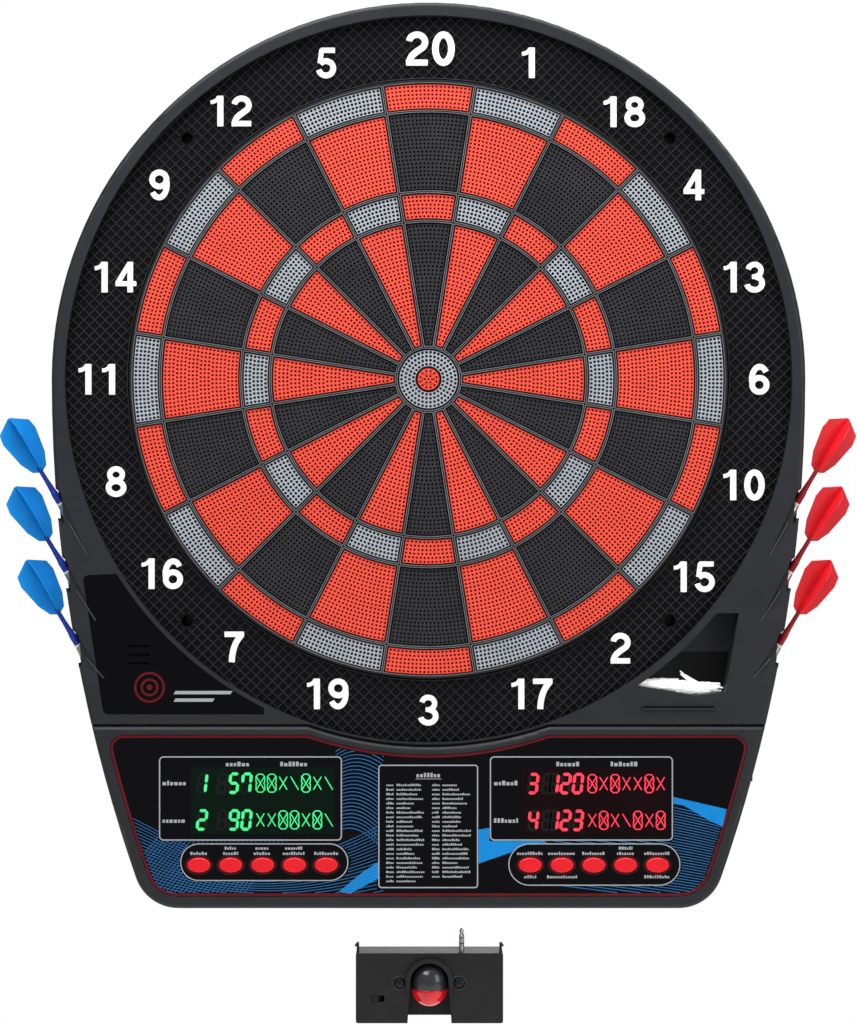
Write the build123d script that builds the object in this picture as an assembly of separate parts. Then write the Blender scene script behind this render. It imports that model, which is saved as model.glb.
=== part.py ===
from build123d import *
import math
import os

# Electronic dartboard with soft-tip darts and a plug-in toe-line laser.
# Millimetres, +Z up, +X to the right as a player sees it, the front faces -Y.
# The origin is on the wall plane, behind the bull, at the centre of the four wall-screw holes.
# "Depth" is the distance off the wall, so depth 44 is y = -44.

# ---------------------------------------------------------------- driving dimensions

# Front outline
HEAD_R = 251.6            # round head
HEAD_LOW_R = 244.5        # the head below the seam, where the console closes round it
SIDE_R = 1012.0           # long arcs down both sides, tangent to the head at z = 0
FOOT_Z = -353.1           # underside of the console
FOOT_CORNER_R = 30.0
SEAM_Z = -230.9           # joint between head and console
SEAM_GAP = 0.4

# Depths off the wall
COVER_T = 2.5             # rear cover
FRONT = 44.0              # front faces of both housings
WALL_T = 3.0
FACE_T = 3.0
EDGE_R = 3.2              # rounding round the front edge

# Catch ring and wall screws
CATCH_IN_R, CATCH_OUT_R = 200.6, 244.8
CATCH_BACK, CATCH_FRONT = 35.0, 38.0
RIM_IN_R = 242.6          # inner edge of the raised rim
COLLAR_T = 3.0
WALL_HOLE_XZ = 161.3      # wall holes sit at +-161.3 in x and z
WALL_HOLE_R = 2.75
WALL_BORE_R = 3.75
WALL_BOSS_R = 7.0
WALL_BOSS_FLOOR = 24.0

# Scoring field: web circles from the bull outwards
SECTORS = (20, 1, 18, 4, 13, 6, 10, 15, 2, 17, 3, 19, 7, 16, 8, 11, 14, 9, 12, 5)
SECTOR_DEG = 360 / len(SECTORS)
TOP_DEG = 90.0
BULL_WEB_R = 21.5
WEB_RADII = (BULL_WEB_R, 105.6, 125.2, 179.0, 198.7)
SPIDER_OUT_R = 200.0
WEB_HALF_FRONT = 0.9      # the web is thick in front and thin behind,
WEB_HALF_BACK = 0.45      # so its shoulder traps each segment's flange
WEB_BACK, WEB_SHOULDER, WEB_FRONT = 26.5, 30.0, 42.0
SPIDER_FLANGE_R = 206.0
SPIDER_FLANGE_BACK, SPIDER_FLANGE_FRONT = 32.0, 34.8
SEG_INSET = 1.35          # segment side to the middle of the web
FLANGE_INSET = 0.7
SEG_BACK, FLANGE_FRONT, SEG_FACE = 28.2, 29.8, 41.2
BULL_IN_R = 7.8
BULL_IN_STEP_R = 8.8
BULL_STEP_FRONT = 31.9
BULL_RING_IN_R = 8.3
BULL_RING_STEP_R = 9.2
BULL_RING_OUT_R = 20.0
BULL_RING_FLANGE_R = 20.8
BULL_RING_STEP = 33.4

# Sensor stack behind the segments
STACK_R = 205.0
BOARD_BACK, BOARD_FRONT = 18.0, 24.0
MEMBRANE_FRONT = 24.5
MAT_FRONT = 26.5

# Darts and their slots: the point where barrel meets shaft, on the right-hand side
DART_JOINTS = ((247.1, -82.5), (242.7, -128.3), (235.2, -177.5))
RIDGE_ENDS = ((227.2, -118.1), (221.3, -161.9), (216.1, -199.8))
DART_LEAN_DEG = 31.5      # from the vertical, tops outwards
DART_DEPTH = 31.0
BARREL_R, BARREL_L = 3.2, 40.0
BARREL_TAIL_R, BARREL_TAIL_L = 2.5, 8.0
TIP_R, TIP_END_R, TIP_L = 2.2, 0.7, 15.0
SHAFT_R, SHAFT_WIDE_L, SHAFT_THIN_R, SHAFT_L = 2.4, 8.0, 1.3, 50.0
FLIGHT_START = 24.3
FLIGHT_T = 0.8
FLIGHT_TWIST_DEG = 14.0
FLIGHT_HALF = ((0.0, 1.0), (2.5, 5.4), (11.0, 9.4), (28.0, 12.6), (35.0, 11.4), (42.2, 1.0))
SLOT_R, SLOT_TUBE_R = 3.6, 6.0
TIP_BORE_R, TIP_TUBE_R = 3.0, 4.6
SLOT_CLEAR = 1.5          # spare length below the tip
# Open mouth of the slot in front view, measured outwards and upwards from the dart's joint
SLOT_MOUTH = ((-1.9, 6.5), (-3.8, -14.3), (1.0, -9.5), (10.0, -0.5), (10.0, 16.0))
SLOT_BLOCK_L = 18.0       # solid block round the mouth, along the dart
FACET_DEPTH = 3.5         # step at the top of each ridge

# Tip pocket on the right cheek, badge panel on the left one
CHEEK_ARC_R = 245.4
POCKET_TOP_Z, POCKET_STEP_Z = -156.0, -182.4
POCKET_FLOOR, POCKET_SHELF = 8.0, 26.0
POCKET_WALL = 2.0
TIP_COUNT, TIP_PITCH, TIP_HEAP_X, TIP_HEAP_Z, TIP_DROP = 9, 4.2, 157.0, -203.6, 0.3
BAR_X, BAR_Z, BAR_SIZE = 166.6, -219.3, (48.6, 1.2, 2.6)
BADGE_T, BADGE_RECESS = 1.5, 1.9
BADGE_GAP = 0.25
SLIT_L, SLIT_W, SLIT_X = 15.0, 1.5, -193.5
SLIT_Z = (-178.0, -183.7, -189.4)
SPEAKER_XZ, SPEAKER_R = (-193.5, -183.7), 14.0

# Console panel
PANEL_INSET = 8.4
PANEL_TOP_GAP = 6.5       # from the seam down to the panel
PANEL_ARC_R = 250.6
PANEL_CORNER_R = 9.0
PANEL_BACK, PANEL_T = 41.5, 2.0
PANEL_GAP = 0.3
LEDGE_W, LEDGE_BACK = 4.0, 39.2

# Buttons: five each side
BUTTON_X = (-153.1, -131.9, -110.6, -89.4, -68.2, 67.8, 89.0, 110.2, 131.4, 152.6)
BUTTON_Z = -324.0
BUTTON_HALF = (7.75, 5.0)
BUTTON_CLEAR = 0.3
BUTTON_FLANGE = 1.8
BUTTON_BACK, BUTTON_FLANGE_FRONT, BUTTON_FRONT = 36.5, 38.0, 45.0
BUTTON_ROUND = 1.1

# Electronics
PCB_BACK, PCB_T = 22.0, 1.6
DISPLAY_X = (-110.4, 110.6)
DISPLAY_Z, DISPLAY_SIZE = -281.0, (96.0, 46.0)
SWITCH_SIZE, SWITCH_FRONT = 8.0, 34.9
RIBBON_X, RIBBON_W, RIBBON_T, RIBBON_BACK = (-26.0, 14.0), 24.0, 0.8, 16.0
POWER_Z, POWER_DEPTH = -263.5, 24.0
POWER_BODY, POWER_BORE_R, POWER_BORE_L = (15.0, 10.0, 12.0), 2.75, 9.0
POWER_PROUD = 1.0

# Rear-cover screws, as seen from the front
RIM_SCREW_R, RIM_SCREW_DEG = 244.8, (0, 30, 62, 118, 150, 180)
LOW_SCREW_R, LOW_SCREW_DEG = 238.8, (-75, 255)
CHEEK_SCREW_XZ = ((-150.0, -222.0), (150.0, -222.0))
SIDE_SCREW_Z = (-246.0, -318.0)
FOOT_SCREW_X = (-80.0, 80.0)
BOSS_R, BOSS_FRONT = 4.0, 34.8
PILOT_R, SCREW_R, SCREW_END = 1.25, 1.2, 16.0
HEAD_SCREW_R, HEAD_BACK, HEAD_FRONT = 2.8, 0.2, 1.7

# Laser module, drawn unplugged below the board
LASER_X, LASER_HALF_W = 0.65, 49.45
LASER_TOP_Z, LASER_BASE_Z = -384.6, -431.7
LASER_BACK, LASER_FRONT = 2.0, 32.0
LASER_WALL = 2.0
HOOK_X, HOOK_W, HOOK_T, HOOK_TALL, HOOK_BARB = (-47.5, 48.5), 6.0, 1.6, 6.4, 1.4
PLUG_X, PLUG_DEPTH, PLUG_R, PLUG_L = 22.3, 26.0, 1.75, 16.0
SOCKET_R, SOCKET_L, SOCKET_HALF = 2.1, 17.0, 4.5
DOME_X, DOME_Z, DOME_R = 0.65, -403.9, 12.5
DOME_DEPTH = 24.0
DOME_CLEAR = 0.4
LENS_TOP_Z, LENS_BASE_Z = -409.3, -421.4
ARCH_R, ARCH_PROUD = 16.0, 3.0
NOTCH_HALF_TOP, NOTCH_HALF_BASE, NOTCH_TOP_Z, NOTCH_FLOOR = 13.2, 14.7, -405.2, 5.0
CASE_SCREW_X, CASE_SCREW_Z = (-19.1, 20.4), -404.6
CASE_SCREW_R, CASE_BORE_R = 3.3, 4.0
LSWITCH_SLOT = (-38.3, -29.7, -417.2, -413.0)   # x low, x high, z low, z high
LSWITCH_KNOB = (4.0, 3.4)
LSWITCH_GAP = 0.3

os.makedirs("parts", exist_ok=True)


# ---------------------------------------------------------------- helpers

def plate(sketch, back, front):
    """A front-view sketch (X right, Z up) made solid between two depths."""
    return extrude(Plane.XZ.offset(back) * sketch, amount=front - back, dir=(0, -1, 0))


def at(x, z, sketch):
    """Move a front-view sketch to x, z."""
    return Pos(x, z) * sketch


def ring(outer, inner):
    return Circle(outer) - Circle(inner)


def span(x_low, x_high, z_low, z_high):
    """Front-view rectangle given by its edges."""
    middle = Pos((x_low + x_high) / 2, (z_low + z_high) / 2)
    return middle * Rectangle(x_high - x_low, z_high - z_low)


def outline(points):
    return make_face(Polyline(*points, close=True))


def polar(radius, degrees):
    a = math.radians(degrees)
    return (radius * math.cos(a), radius * math.sin(a))


def half_width(z):
    """Half the board's width at a height below the bull."""
    return HEAD_R - (SIDE_R - math.sqrt(SIDE_R ** 2 - z ** 2))


def save(name, shape):
    export_step(shape, f"parts/{name}.step")


def joined(shapes):
    """Separate solids kept as one node."""
    solids = [solid for shape in shapes for solid in shape.solids()]
    return Compound(children=solids)


# ---------------------------------------------------------------- front outlines

def silhouette():
    side_deg = math.degrees(math.asin(-FOOT_Z / SIDE_R))
    right = CenterArc((HEAD_R - SIDE_R, 0), SIDE_R, 0, -side_deg)
    left = CenterArc((SIDE_R - HEAD_R, 0), SIDE_R, 180, side_deg)
    head = CenterArc((0, 0), HEAD_R, 0, 180)
    foot = Line(right @ 1, left @ 1)
    face = make_face(Curve() + [head, right, left, foot])
    return fillet(face.vertices().group_by(Axis.Y)[0], FOOT_CORNER_R)


BOARD = silhouette()
FAR = 600.0               # larger than the board, for cutting outlines


def board_plan(inset):
    return offset(BOARD, -inset) if inset else BOARD


def upper_plan(inset=0.0):
    """Head and cheeks down to the seam."""
    return board_plan(inset) - span(-FAR, FAR, -FAR, SEAM_Z + inset) + Circle(HEAD_LOW_R - inset)


def console_plan(inset=0.0):
    """Console below the seam, hollowed at its top for the round head."""
    above = span(-FAR, FAR, SEAM_Z - SEAM_GAP - inset, FAR)
    return board_plan(inset) - above - Circle(HEAD_LOW_R + SEAM_GAP + inset)


def panel_plan(extra=0.0):
    """Console panel outline; extra draws every side further out."""
    inset = PANEL_INSET - extra
    plan = board_plan(inset) - span(-FAR, FAR, SEAM_Z - PANEL_TOP_GAP + extra, FAR)
    plan = fillet(plan.vertices().group_by(Axis.Y)[-1], PANEL_CORNER_R + extra)
    return plan - Circle(PANEL_ARC_R - extra)


def shell(plan):
    """Open-backed housing shell: side walls, and a front face with a rounded edge."""
    block = plate(plan(), COVER_T, FRONT)
    front = block.faces().sort_by(Axis.Y)[0]
    block = fillet(front.outer_wire().edges(), EDGE_R)
    return block - plate(plan(WALL_T), COVER_T, FRONT - FACE_T)


def screw_places():
    """Rear-cover screw positions, head first, then console."""
    head = [polar(RIM_SCREW_R, a) for a in RIM_SCREW_DEG] + [polar(LOW_SCREW_R, a) for a in LOW_SCREW_DEG]
    head += list(CHEEK_SCREW_XZ)
    reach = WALL_T + BOSS_R - 0.2
    sides = [(s * (half_width(z) - reach), z) for z in SIDE_SCREW_Z for s in (-1, 1)]
    foot = [(x, FOOT_Z + reach) for x in FOOT_SCREW_X]
    return head, sides + foot


HEAD_SCREWS, CONSOLE_SCREWS = screw_places()


def bosses(places, front):
    """Screw bosses, to be joined to a housing."""
    return [plate(at(x, z, Circle(BOSS_R)), COVER_T, front) for x, z in places]


def pilots(places):
    return [plate(at(x, z, Circle(PILOT_R)), COVER_T, SCREW_END + 2) for x, z in places]


# ---------------------------------------------------------------- upper housing

def dart_frame(joint, side):
    """Local frame of a dart: Z up its axis, X towards the player."""
    lean = math.radians(DART_LEAN_DEG)
    up = (side * math.sin(lean), 0, math.cos(lean))
    return Plane(origin=(side * joint[0], -DART_DEPTH, joint[1]), x_dir=(0, -1, 0), z_dir=up)


def along(frame, radius, low, high, end_radius=None):
    """Round bar between two places along a dart's axis."""
    middle = Pos(0, 0, (low + high) / 2)
    if end_radius is None:
        return frame * middle * Cylinder(radius, high - low)
    return frame * middle * Cone(radius, end_radius, high - low)


def slot_body(frame):
    """Guide tube, and the block round the open mouth."""
    end = -BARREL_L - TIP_L - SLOT_CLEAR
    block_front = FRONT - DART_DEPTH - 0.5
    block = Box(SLOT_TUBE_R + block_front, 2 * SLOT_TUBE_R, SLOT_BLOCK_L)
    place = Pos((block_front - SLOT_TUBE_R) / 2, 0, -SLOT_BLOCK_L / 2)
    tube = along(frame, SLOT_TUBE_R, -BARREL_L - 2, 0)
    return tube + along(frame, TIP_TUBE_R, end - 1.5, -BARREL_L) + frame * place * block


def slot_bore(frame, joint, side):
    """Room for the dart: bore for barrel and tip, and the mouth open to the front."""
    end = -BARREL_L - TIP_L - SLOT_CLEAR
    mouth = outline([(side * (joint[0] + out), joint[1] + up) for out, up in SLOT_MOUTH])
    bore = along(frame, SLOT_R, -BARREL_L - 1, 30)
    bore += along(frame, TIP_BORE_R, end, -BARREL_L)
    return bore + plate(mouth, DART_DEPTH - SLOT_R, FRONT + 5)


def facet(joint, ridge_end, side):
    """Wedge cut whose deep edge is the ridge that runs down from a dart slot."""
    top = (joint[0] - 2.6, joint[1] + 4.0)
    start = [end + 1.3 * (t - end) for t, end in zip(top, ridge_end)]
    far = (half_width(ridge_end[1]) + 14, ridge_end[1] - 12)
    corners = [
        (side * start[0], FACET_DEPTH - FRONT, start[1]),
        (side * ridge_end[0], -FRONT, ridge_end[1]),
        (side * far[0], -FRONT, far[1]),
    ]
    return extrude(make_face(Polyline(*corners, close=True)), amount=10, dir=(0, -1, 0))


def pocket_plan():
    """Mouth of the tip pocket, with its inner side along the head."""
    points = ((185, POCKET_TOP_Z), (206.9, POCKET_TOP_Z), (198, -208.5), (177.6, -210.9), (137, -204))
    face = outline(points + ((120, -190), (150, -160)))
    return face - Circle(CHEEK_ARC_R + POCKET_WALL)


def badge_plan(gap=0.0):
    """Badge panel outline on the left cheek, with its inner side along the head."""
    face = outline([(-230.4, -131), (-205, -130), (-110, -200), (-110, -223.3), (-216.5, -223.3)])
    face = fillet([v for v in face.vertices() if v.X < -209], 3.5)
    return offset(face - Circle(CHEEK_ARC_R), gap) if gap else face - Circle(CHEEK_ARC_R)


def slits():
    """The three sound slits."""
    return Sketch() + [at(SLIT_X, z, SlotOverall(SLIT_L, SLIT_W)) for z in SLIT_Z]


def ribbon_window():
    """Wire passage between head and console."""
    return Pos(0, -15, -HEAD_LOW_R) * Box(90, 14, 20)


def upper_housing():
    body = shell(upper_plan) - plate(Circle(RIM_IN_R), COVER_T, FRONT + 1)
    body += plate(ring(RIM_IN_R + COLLAR_T, RIM_IN_R) & upper_plan(), CATCH_FRONT + 0.2, FRONT - FACE_T)
    body += bosses(HEAD_SCREWS, BOSS_FRONT) + bosses(CHEEK_SCREW_XZ, FRONT - FACE_T)
    envelope = plate(upper_plan(), COVER_T, FRONT - 0.5)
    frames = [(dart_frame(joint, side), joint, end, side)
              for joint, end in zip(DART_JOINTS, RIDGE_ENDS) for side in (-1, 1)]
    for frame, joint, end, side in frames:
        body += slot_body(frame) & envelope
    pocket = pocket_plan()
    pocket_walls = offset(pocket, POCKET_WALL) - Circle(CHEEK_ARC_R)
    body += plate(pocket_walls, POCKET_FLOOR - POCKET_WALL, FRONT - 1) & envelope
    upper_part = pocket - span(0, FAR, -FAR, POCKET_STEP_Z)
    body -= plate(pocket - upper_part, POCKET_FLOOR, FRONT + 1)
    body -= plate(upper_part, POCKET_SHELF, FRONT + 1)
    for frame, joint, end, side in frames:
        body -= facet(joint, end, side)
        body -= slot_bore(frame, joint, side)
    body -= plate(badge_plan(BADGE_GAP), FRONT - BADGE_RECESS, FRONT + 1)
    body -= plate(slits(), 0, FRONT)
    body += Pos(BAR_X, -FRONT - BAR_SIZE[1] / 2, BAR_Z) * Box(*BAR_SIZE)
    return body - ribbon_window() - pilots(HEAD_SCREWS)


# ---------------------------------------------------------------- console

def hook_slots():
    """Slots in the underside for the laser module's two hooks."""
    return [Pos(x, -PLUG_DEPTH, FOOT_Z) * Box(5.4, HOOK_W + 2, 4 * WALL_T) for x in HOOK_X]


def socket_bore(radius, length):
    """Jack socket bore, upwards from the underside."""
    return Pos(PLUG_X, -PLUG_DEPTH, FOOT_Z + length / 2) * Cylinder(radius, length)


def power_place():
    reach = half_width(POWER_Z) + POWER_PROUD
    return Pos(reach - POWER_BODY[0] / 2, -POWER_DEPTH, POWER_Z)


def console_housing():
    body = shell(console_plan)
    ledge = console_plan(1.0)
    body += plate(ledge, LEDGE_BACK, FRONT - FACE_T)
    body -= plate(panel_plan(PANEL_GAP), PANEL_BACK, FRONT + 1)
    body -= plate(panel_plan(-LEDGE_W), LEDGE_BACK - 1, FRONT)
    body += bosses(CONSOLE_SCREWS, LEDGE_BACK)
    gap = 0.1
    body -= power_place() * Box(*[size + 2 * gap for size in POWER_BODY])
    body -= hook_slots()
    body -= socket_bore(SOCKET_R, WALL_T)
    return body - ribbon_window() - pilots(CONSOLE_SCREWS)


def console_panel():
    holes = [at(x, BUTTON_Z, Ellipse(*[h + BUTTON_CLEAR for h in BUTTON_HALF])) for x in BUTTON_X]
    return plate(panel_plan() - holes, PANEL_BACK, PANEL_BACK + PANEL_T)


def button():
    """One push button at x = 0, with the flange that keeps it behind the panel."""
    cap = plate(Ellipse(*BUTTON_HALF), BUTTON_BACK, BUTTON_FRONT)
    cap = fillet(cap.faces().sort_by(Axis.Y)[0].edges(), BUTTON_ROUND)
    flange = plate(Ellipse(*[h + BUTTON_FLANGE for h in BUTTON_HALF]), BUTTON_BACK, BUTTON_FLANGE_FRONT)
    return Pos(0, 0, BUTTON_Z) * (cap + flange)


def power_jack():
    body = power_place() * Box(*POWER_BODY)
    mouth = half_width(POWER_Z) + POWER_PROUD
    bore = Pos(mouth - POWER_BORE_L / 2, -POWER_DEPTH, POWER_Z) * Rot(0, 90, 0)
    return body - bore * Cylinder(POWER_BORE_R, POWER_BORE_L)


# ---------------------------------------------------------------- rear cover and screws

def rear_cover():
    cover = plate(board_plan(0.8), 0, COVER_T)
    rib = board_plan(WALL_T + 0.4) - board_plan(WALL_T + 2.0)
    rib -= span(-FAR, FAR, SEAM_Z - 5, SEAM_Z + 5)
    for x, z in HEAD_SCREWS + CONSOLE_SCREWS:
        rib -= at(x, z, Circle(BOSS_R + 0.5))
    cover += plate(rib, COVER_T, COVER_T + 3.5)
    for radius in (70.0, 130.0, 190.0):
        cover += plate(ring(radius + 1.0, radius - 1.0), COVER_T, BOARD_BACK)
    for x, z in HEAD_SCREWS + CONSOLE_SCREWS:
        cover -= plate(at(x, z, Circle(SCREW_R + 0.4)), 0, COVER_T)
        cover -= plate(at(x, z, Circle(HEAD_SCREW_R + 0.3)), 0, HEAD_FRONT)
    for x in (-WALL_HOLE_XZ, WALL_HOLE_XZ):
        for z in (-WALL_HOLE_XZ, WALL_HOLE_XZ):
            cover -= plate(at(x, z, Circle(WALL_HOLE_R)), 0, COVER_T)
    return cover


def housing_screws():
    screws = []
    for x, z in HEAD_SCREWS + CONSOLE_SCREWS:
        head = plate(at(x, z, Circle(HEAD_SCREW_R)), HEAD_BACK, HEAD_FRONT)
        screws.append(head + plate(at(x, z, Circle(SCREW_R)), HEAD_FRONT, SCREW_END))
    return joined(screws)


# ---------------------------------------------------------------- target

def catch_ring():
    room = upper_plan(WALL_T + 0.2) + Circle(RIM_IN_R - 0.2)
    body = plate(ring(CATCH_OUT_R, CATCH_IN_R) & room, CATCH_BACK, CATCH_FRONT)
    places = [(sx * WALL_HOLE_XZ, sz * WALL_HOLE_XZ) for sx in (-1, 1) for sz in (-1, 1)]
    for x, z in places:
        body += plate(at(x, z, Circle(WALL_BOSS_R)), COVER_T, CATCH_BACK)
    for x, z in places:
        body -= plate(at(x, z, Circle(WALL_HOLE_R)), COVER_T, WALL_BOSS_FLOOR)
        body -= plate(at(x, z, Circle(WALL_BORE_R)), WALL_BOSS_FLOOR, CATCH_FRONT)
    return body


def cell(ring_index, inset):
    """One scoring cell of the top sector, every side drawn in by inset."""
    low = WEB_RADII[ring_index] + inset
    high = WEB_RADII[ring_index + 1] - inset

    def corner(radius, side):
        turn = SECTOR_DEG / 2 - math.degrees(math.asin(inset / radius))
        return polar(radius, TOP_DEG - side * turn)

    inner = ThreePointArc(corner(low, -1), (0, low), corner(low, 1))
    outer = ThreePointArc(corner(high, 1), (0, high), corner(high, -1))
    return make_face(Curve() + [inner, Line(inner @ 1, outer @ 0), outer, Line(outer @ 1, inner @ 0)])


def cells(inset):
    """All 80 cells as front-view faces."""
    return [Rot(0, 0, -SECTOR_DEG * turn) * cell(index, inset)
            for turn in range(len(SECTORS)) for index in range(4)]


def spider():
    front = ring(SPIDER_OUT_R, BULL_WEB_R - WEB_HALF_FRONT) - cells(WEB_HALF_FRONT)
    back = ring(SPIDER_OUT_R, BULL_WEB_R - WEB_HALF_BACK) - cells(WEB_HALF_BACK)
    flange = ring(SPIDER_FLANGE_R, SPIDER_OUT_R - 1)
    body = plate(front, WEB_SHOULDER, WEB_FRONT) + plate(back, WEB_BACK, WEB_SHOULDER)
    return body + plate(flange, SPIDER_FLANGE_BACK, SPIDER_FLANGE_FRONT)


def top_sector():
    """The four segments of the top sector, from inner single to double."""
    segments = []
    for index in range(4):
        face = plate(cell(index, SEG_INSET), SEG_BACK, SEG_FACE)
        segments.append(face + plate(cell(index, FLANGE_INSET), SEG_BACK, FLANGE_FRONT))
    return segments


def outer_bull_segment():
    body = plate(Circle(BULL_RING_OUT_R), SEG_BACK, SEG_FACE)
    body += plate(Circle(BULL_RING_FLANGE_R), SEG_BACK, FLANGE_FRONT)
    body -= plate(Circle(BULL_RING_IN_R), SEG_BACK, SEG_FACE)
    return body - plate(Circle(BULL_RING_STEP_R), SEG_BACK, BULL_RING_STEP)


def inner_bull_segment():
    body = plate(Circle(BULL_IN_R), SEG_BACK, SEG_FACE)
    return body + plate(Circle(BULL_IN_STEP_R), SEG_BACK, BULL_STEP_FRONT)


# ---------------------------------------------------------------- electronics and small parts

def main_board():
    plan = span(-170, 170, -338, -257) - [at(s * 48, -338, Rectangle(14, 8)) for s in (-1, 1)]
    board = plate(plan, PCB_BACK, PCB_BACK + PCB_T)
    side = span(PLUG_X - SOCKET_HALF, PLUG_X + SOCKET_HALF, FOOT_Z + WALL_T, FOOT_Z + SOCKET_L + 2)
    socket = plate(side, PCB_BACK + PCB_T, PLUG_DEPTH + SOCKET_HALF)
    return board + (socket - socket_bore(SOCKET_R, SOCKET_L))


def display_modules():
    return joined([plate(at(x, DISPLAY_Z, Rectangle(*DISPLAY_SIZE)), PCB_BACK + PCB_T, PANEL_BACK - 0.3)
                   for x in DISPLAY_X])


def button_switches():
    base = PCB_BACK + PCB_T
    switches = []
    for x in BUTTON_X:
        case = plate(at(x, BUTTON_Z, Rectangle(SWITCH_SIZE, SWITCH_SIZE)), base, SWITCH_FRONT - 1.5)
        switches.append(case + plate(at(x, BUTTON_Z, Circle(2.0)), SWITCH_FRONT - 1.5, SWITCH_FRONT))
    return joined(switches)


def ribbon_cables():
    """Two flat cables from the membrane's edge, behind the seam, to the main board."""
    ribbons = []
    for x in RIBBON_X:
        flat = plate(at(x, -232, Rectangle(RIBBON_W, 62)), RIBBON_BACK, RIBBON_BACK + RIBBON_T)
        plug = plate(at(x, -265, Rectangle(RIBBON_W + 2, 8)), RIBBON_BACK - 1, PCB_BACK)
        ribbons.append(flat + plug)
    return joined(ribbons)


def speaker():
    x, z = SPEAKER_XZ
    frame = plate(at(x, z, Circle(SPEAKER_R)), 36, FRONT - FACE_T)
    magnet = plate(at(x, z, Circle(SPEAKER_R / 2)), 29, 36)
    return frame + magnet - plate(at(x, z, Circle(SPEAKER_R - 2)), 38, FRONT)


def badge_panel():
    return plate(badge_plan() - slits(), FRONT - BADGE_RECESS, FRONT - BADGE_RECESS + BADGE_T)


def spare_tips():
    """Heap of soft tips lying along the pocket's bottom."""
    tips = []
    for index in range(TIP_COUNT):
        x = TIP_HEAP_X + TIP_PITCH * index
        depth = 14 + 8 * (index % 3)
        lie = Rot(0, 82 + 4 * (index % 4), 0)
        tips.append(Pos(x, -depth, TIP_HEAP_Z - TIP_DROP * index) * lie * Cylinder(1.0, 12))
    return tips


# ---------------------------------------------------------------- darts

def dart(joint, side):
    """Soft-tip dart: tip, barrel, shaft and four-winged flight as separate solids."""
    frame = dart_frame(joint, side)
    tip = along(frame, TIP_END_R, -BARREL_L - TIP_L, -BARREL_L, TIP_R)
    barrel = along(frame, BARREL_R, -BARREL_L, -BARREL_TAIL_L)
    barrel += along(frame, BARREL_R, -BARREL_TAIL_L, 0, BARREL_TAIL_R)
    profile = [(0, 0), (SHAFT_R, 0), (SHAFT_R, SHAFT_WIDE_L), (SHAFT_THIN_R, FLIGHT_START),
               (SHAFT_THIN_R, SHAFT_L), (0, SHAFT_L)]
    shaft = frame * revolve(Plane.XZ * outline(profile), Axis.Z)
    right = [(half, FLIGHT_START + z) for z, half in FLIGHT_HALF]
    left = [(-x, z) for x, z in reversed(right)]
    wing = Plane.XZ.offset(-FLIGHT_T / 2) * outline(right + left)
    wing = extrude(wing, amount=FLIGHT_T)
    wings = Rot(0, 0, FLIGHT_TWIST_DEG) * wing + Rot(0, 0, FLIGHT_TWIST_DEG + 90) * wing
    flight = frame * wings - shaft
    return joined([tip, barrel, shaft, flight])


# ---------------------------------------------------------------- laser module

def dome_centre():
    return Pos(DOME_X, -DOME_DEPTH, DOME_Z)


def laser_hook(x):
    outward = -1 if x < 0 else 1
    stem = Pos(x, -PLUG_DEPTH, LASER_TOP_Z + HOOK_TALL / 2) * Box(HOOK_T, HOOK_W, HOOK_TALL)
    tip_x = x + outward * HOOK_T / 2
    top = LASER_TOP_Z + HOOK_TALL
    barb = outline([(tip_x, top), (tip_x + outward * HOOK_BARB, top - 2.2), (tip_x, top - 2.2)])
    return stem + plate(barb, PLUG_DEPTH - HOOK_W / 2, PLUG_DEPTH + HOOK_W / 2)


def notch_plan():
    """Beam notch below the dome, wider at its foot."""
    top, base = NOTCH_HALF_TOP, NOTCH_HALF_BASE
    return at(DOME_X, 0, outline([(-top, NOTCH_TOP_Z), (top, NOTCH_TOP_Z),
                                  (base, LASER_BASE_Z), (-base, LASER_BASE_Z)]))


def laser_case():
    width = span(LASER_X - LASER_HALF_W, LASER_X + LASER_HALF_W, LASER_BASE_Z, LASER_TOP_Z)
    body = plate(fillet(width.vertices(), 1.5), LASER_BACK, LASER_FRONT)
    body = fillet(body.faces().sort_by(Axis.Y)[0].edges(), 0.8)
    body += plate(at(DOME_X, DOME_Z, Circle(ARCH_R)), LASER_FRONT - 1, LASER_FRONT + ARCH_PROUD)
    inner = offset(width, -LASER_WALL)
    core = at(DOME_X, DOME_Z - 10, Rectangle(2 * ARCH_R + 4, 80))
    body -= plate(inner - core, LASER_BACK + LASER_WALL, LASER_FRONT - LASER_WALL)
    body += [plate(at(x, CASE_SCREW_Z, Circle(CASE_BORE_R + 1.5)), LASER_BACK, LASER_FRONT)
             for x in CASE_SCREW_X]
    body -= plate(notch_plan(), NOTCH_FLOOR, LASER_FRONT + 10)
    cavity = Sphere(DOME_R + DOME_CLEAR) + Pos(0, -20, 0) * Rot(90, 0, 0) * Cylinder(DOME_R + DOME_CLEAR, 40)
    body -= dome_centre() * cavity
    body -= plate(notch_plan() & span(-FAR, FAR, -FAR, LASER_BASE_Z + 1.0), 0, NOTCH_FLOOR + 1)
    for x in CASE_SCREW_X:
        body -= plate(at(x, CASE_SCREW_Z, Circle(CASE_BORE_R)), LASER_FRONT - 2.6, LASER_FRONT + 1)
    slot = span(*LSWITCH_SLOT)
    body -= plate(slot, LASER_FRONT - LASER_WALL, LASER_FRONT + 1)
    body -= Pos(PLUG_X, -PLUG_DEPTH, LASER_TOP_Z) * Cylinder(PLUG_R + 0.1, 2 * LASER_WALL)
    body += [laser_hook(x) for x in HOOK_X]
    heads = [plate(at(x, CASE_SCREW_Z, Circle(CASE_SCREW_R)), LASER_FRONT - 2.6, LASER_FRONT - 0.6)
             for x in CASE_SCREW_X]
    return joined([body] + heads)


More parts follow.
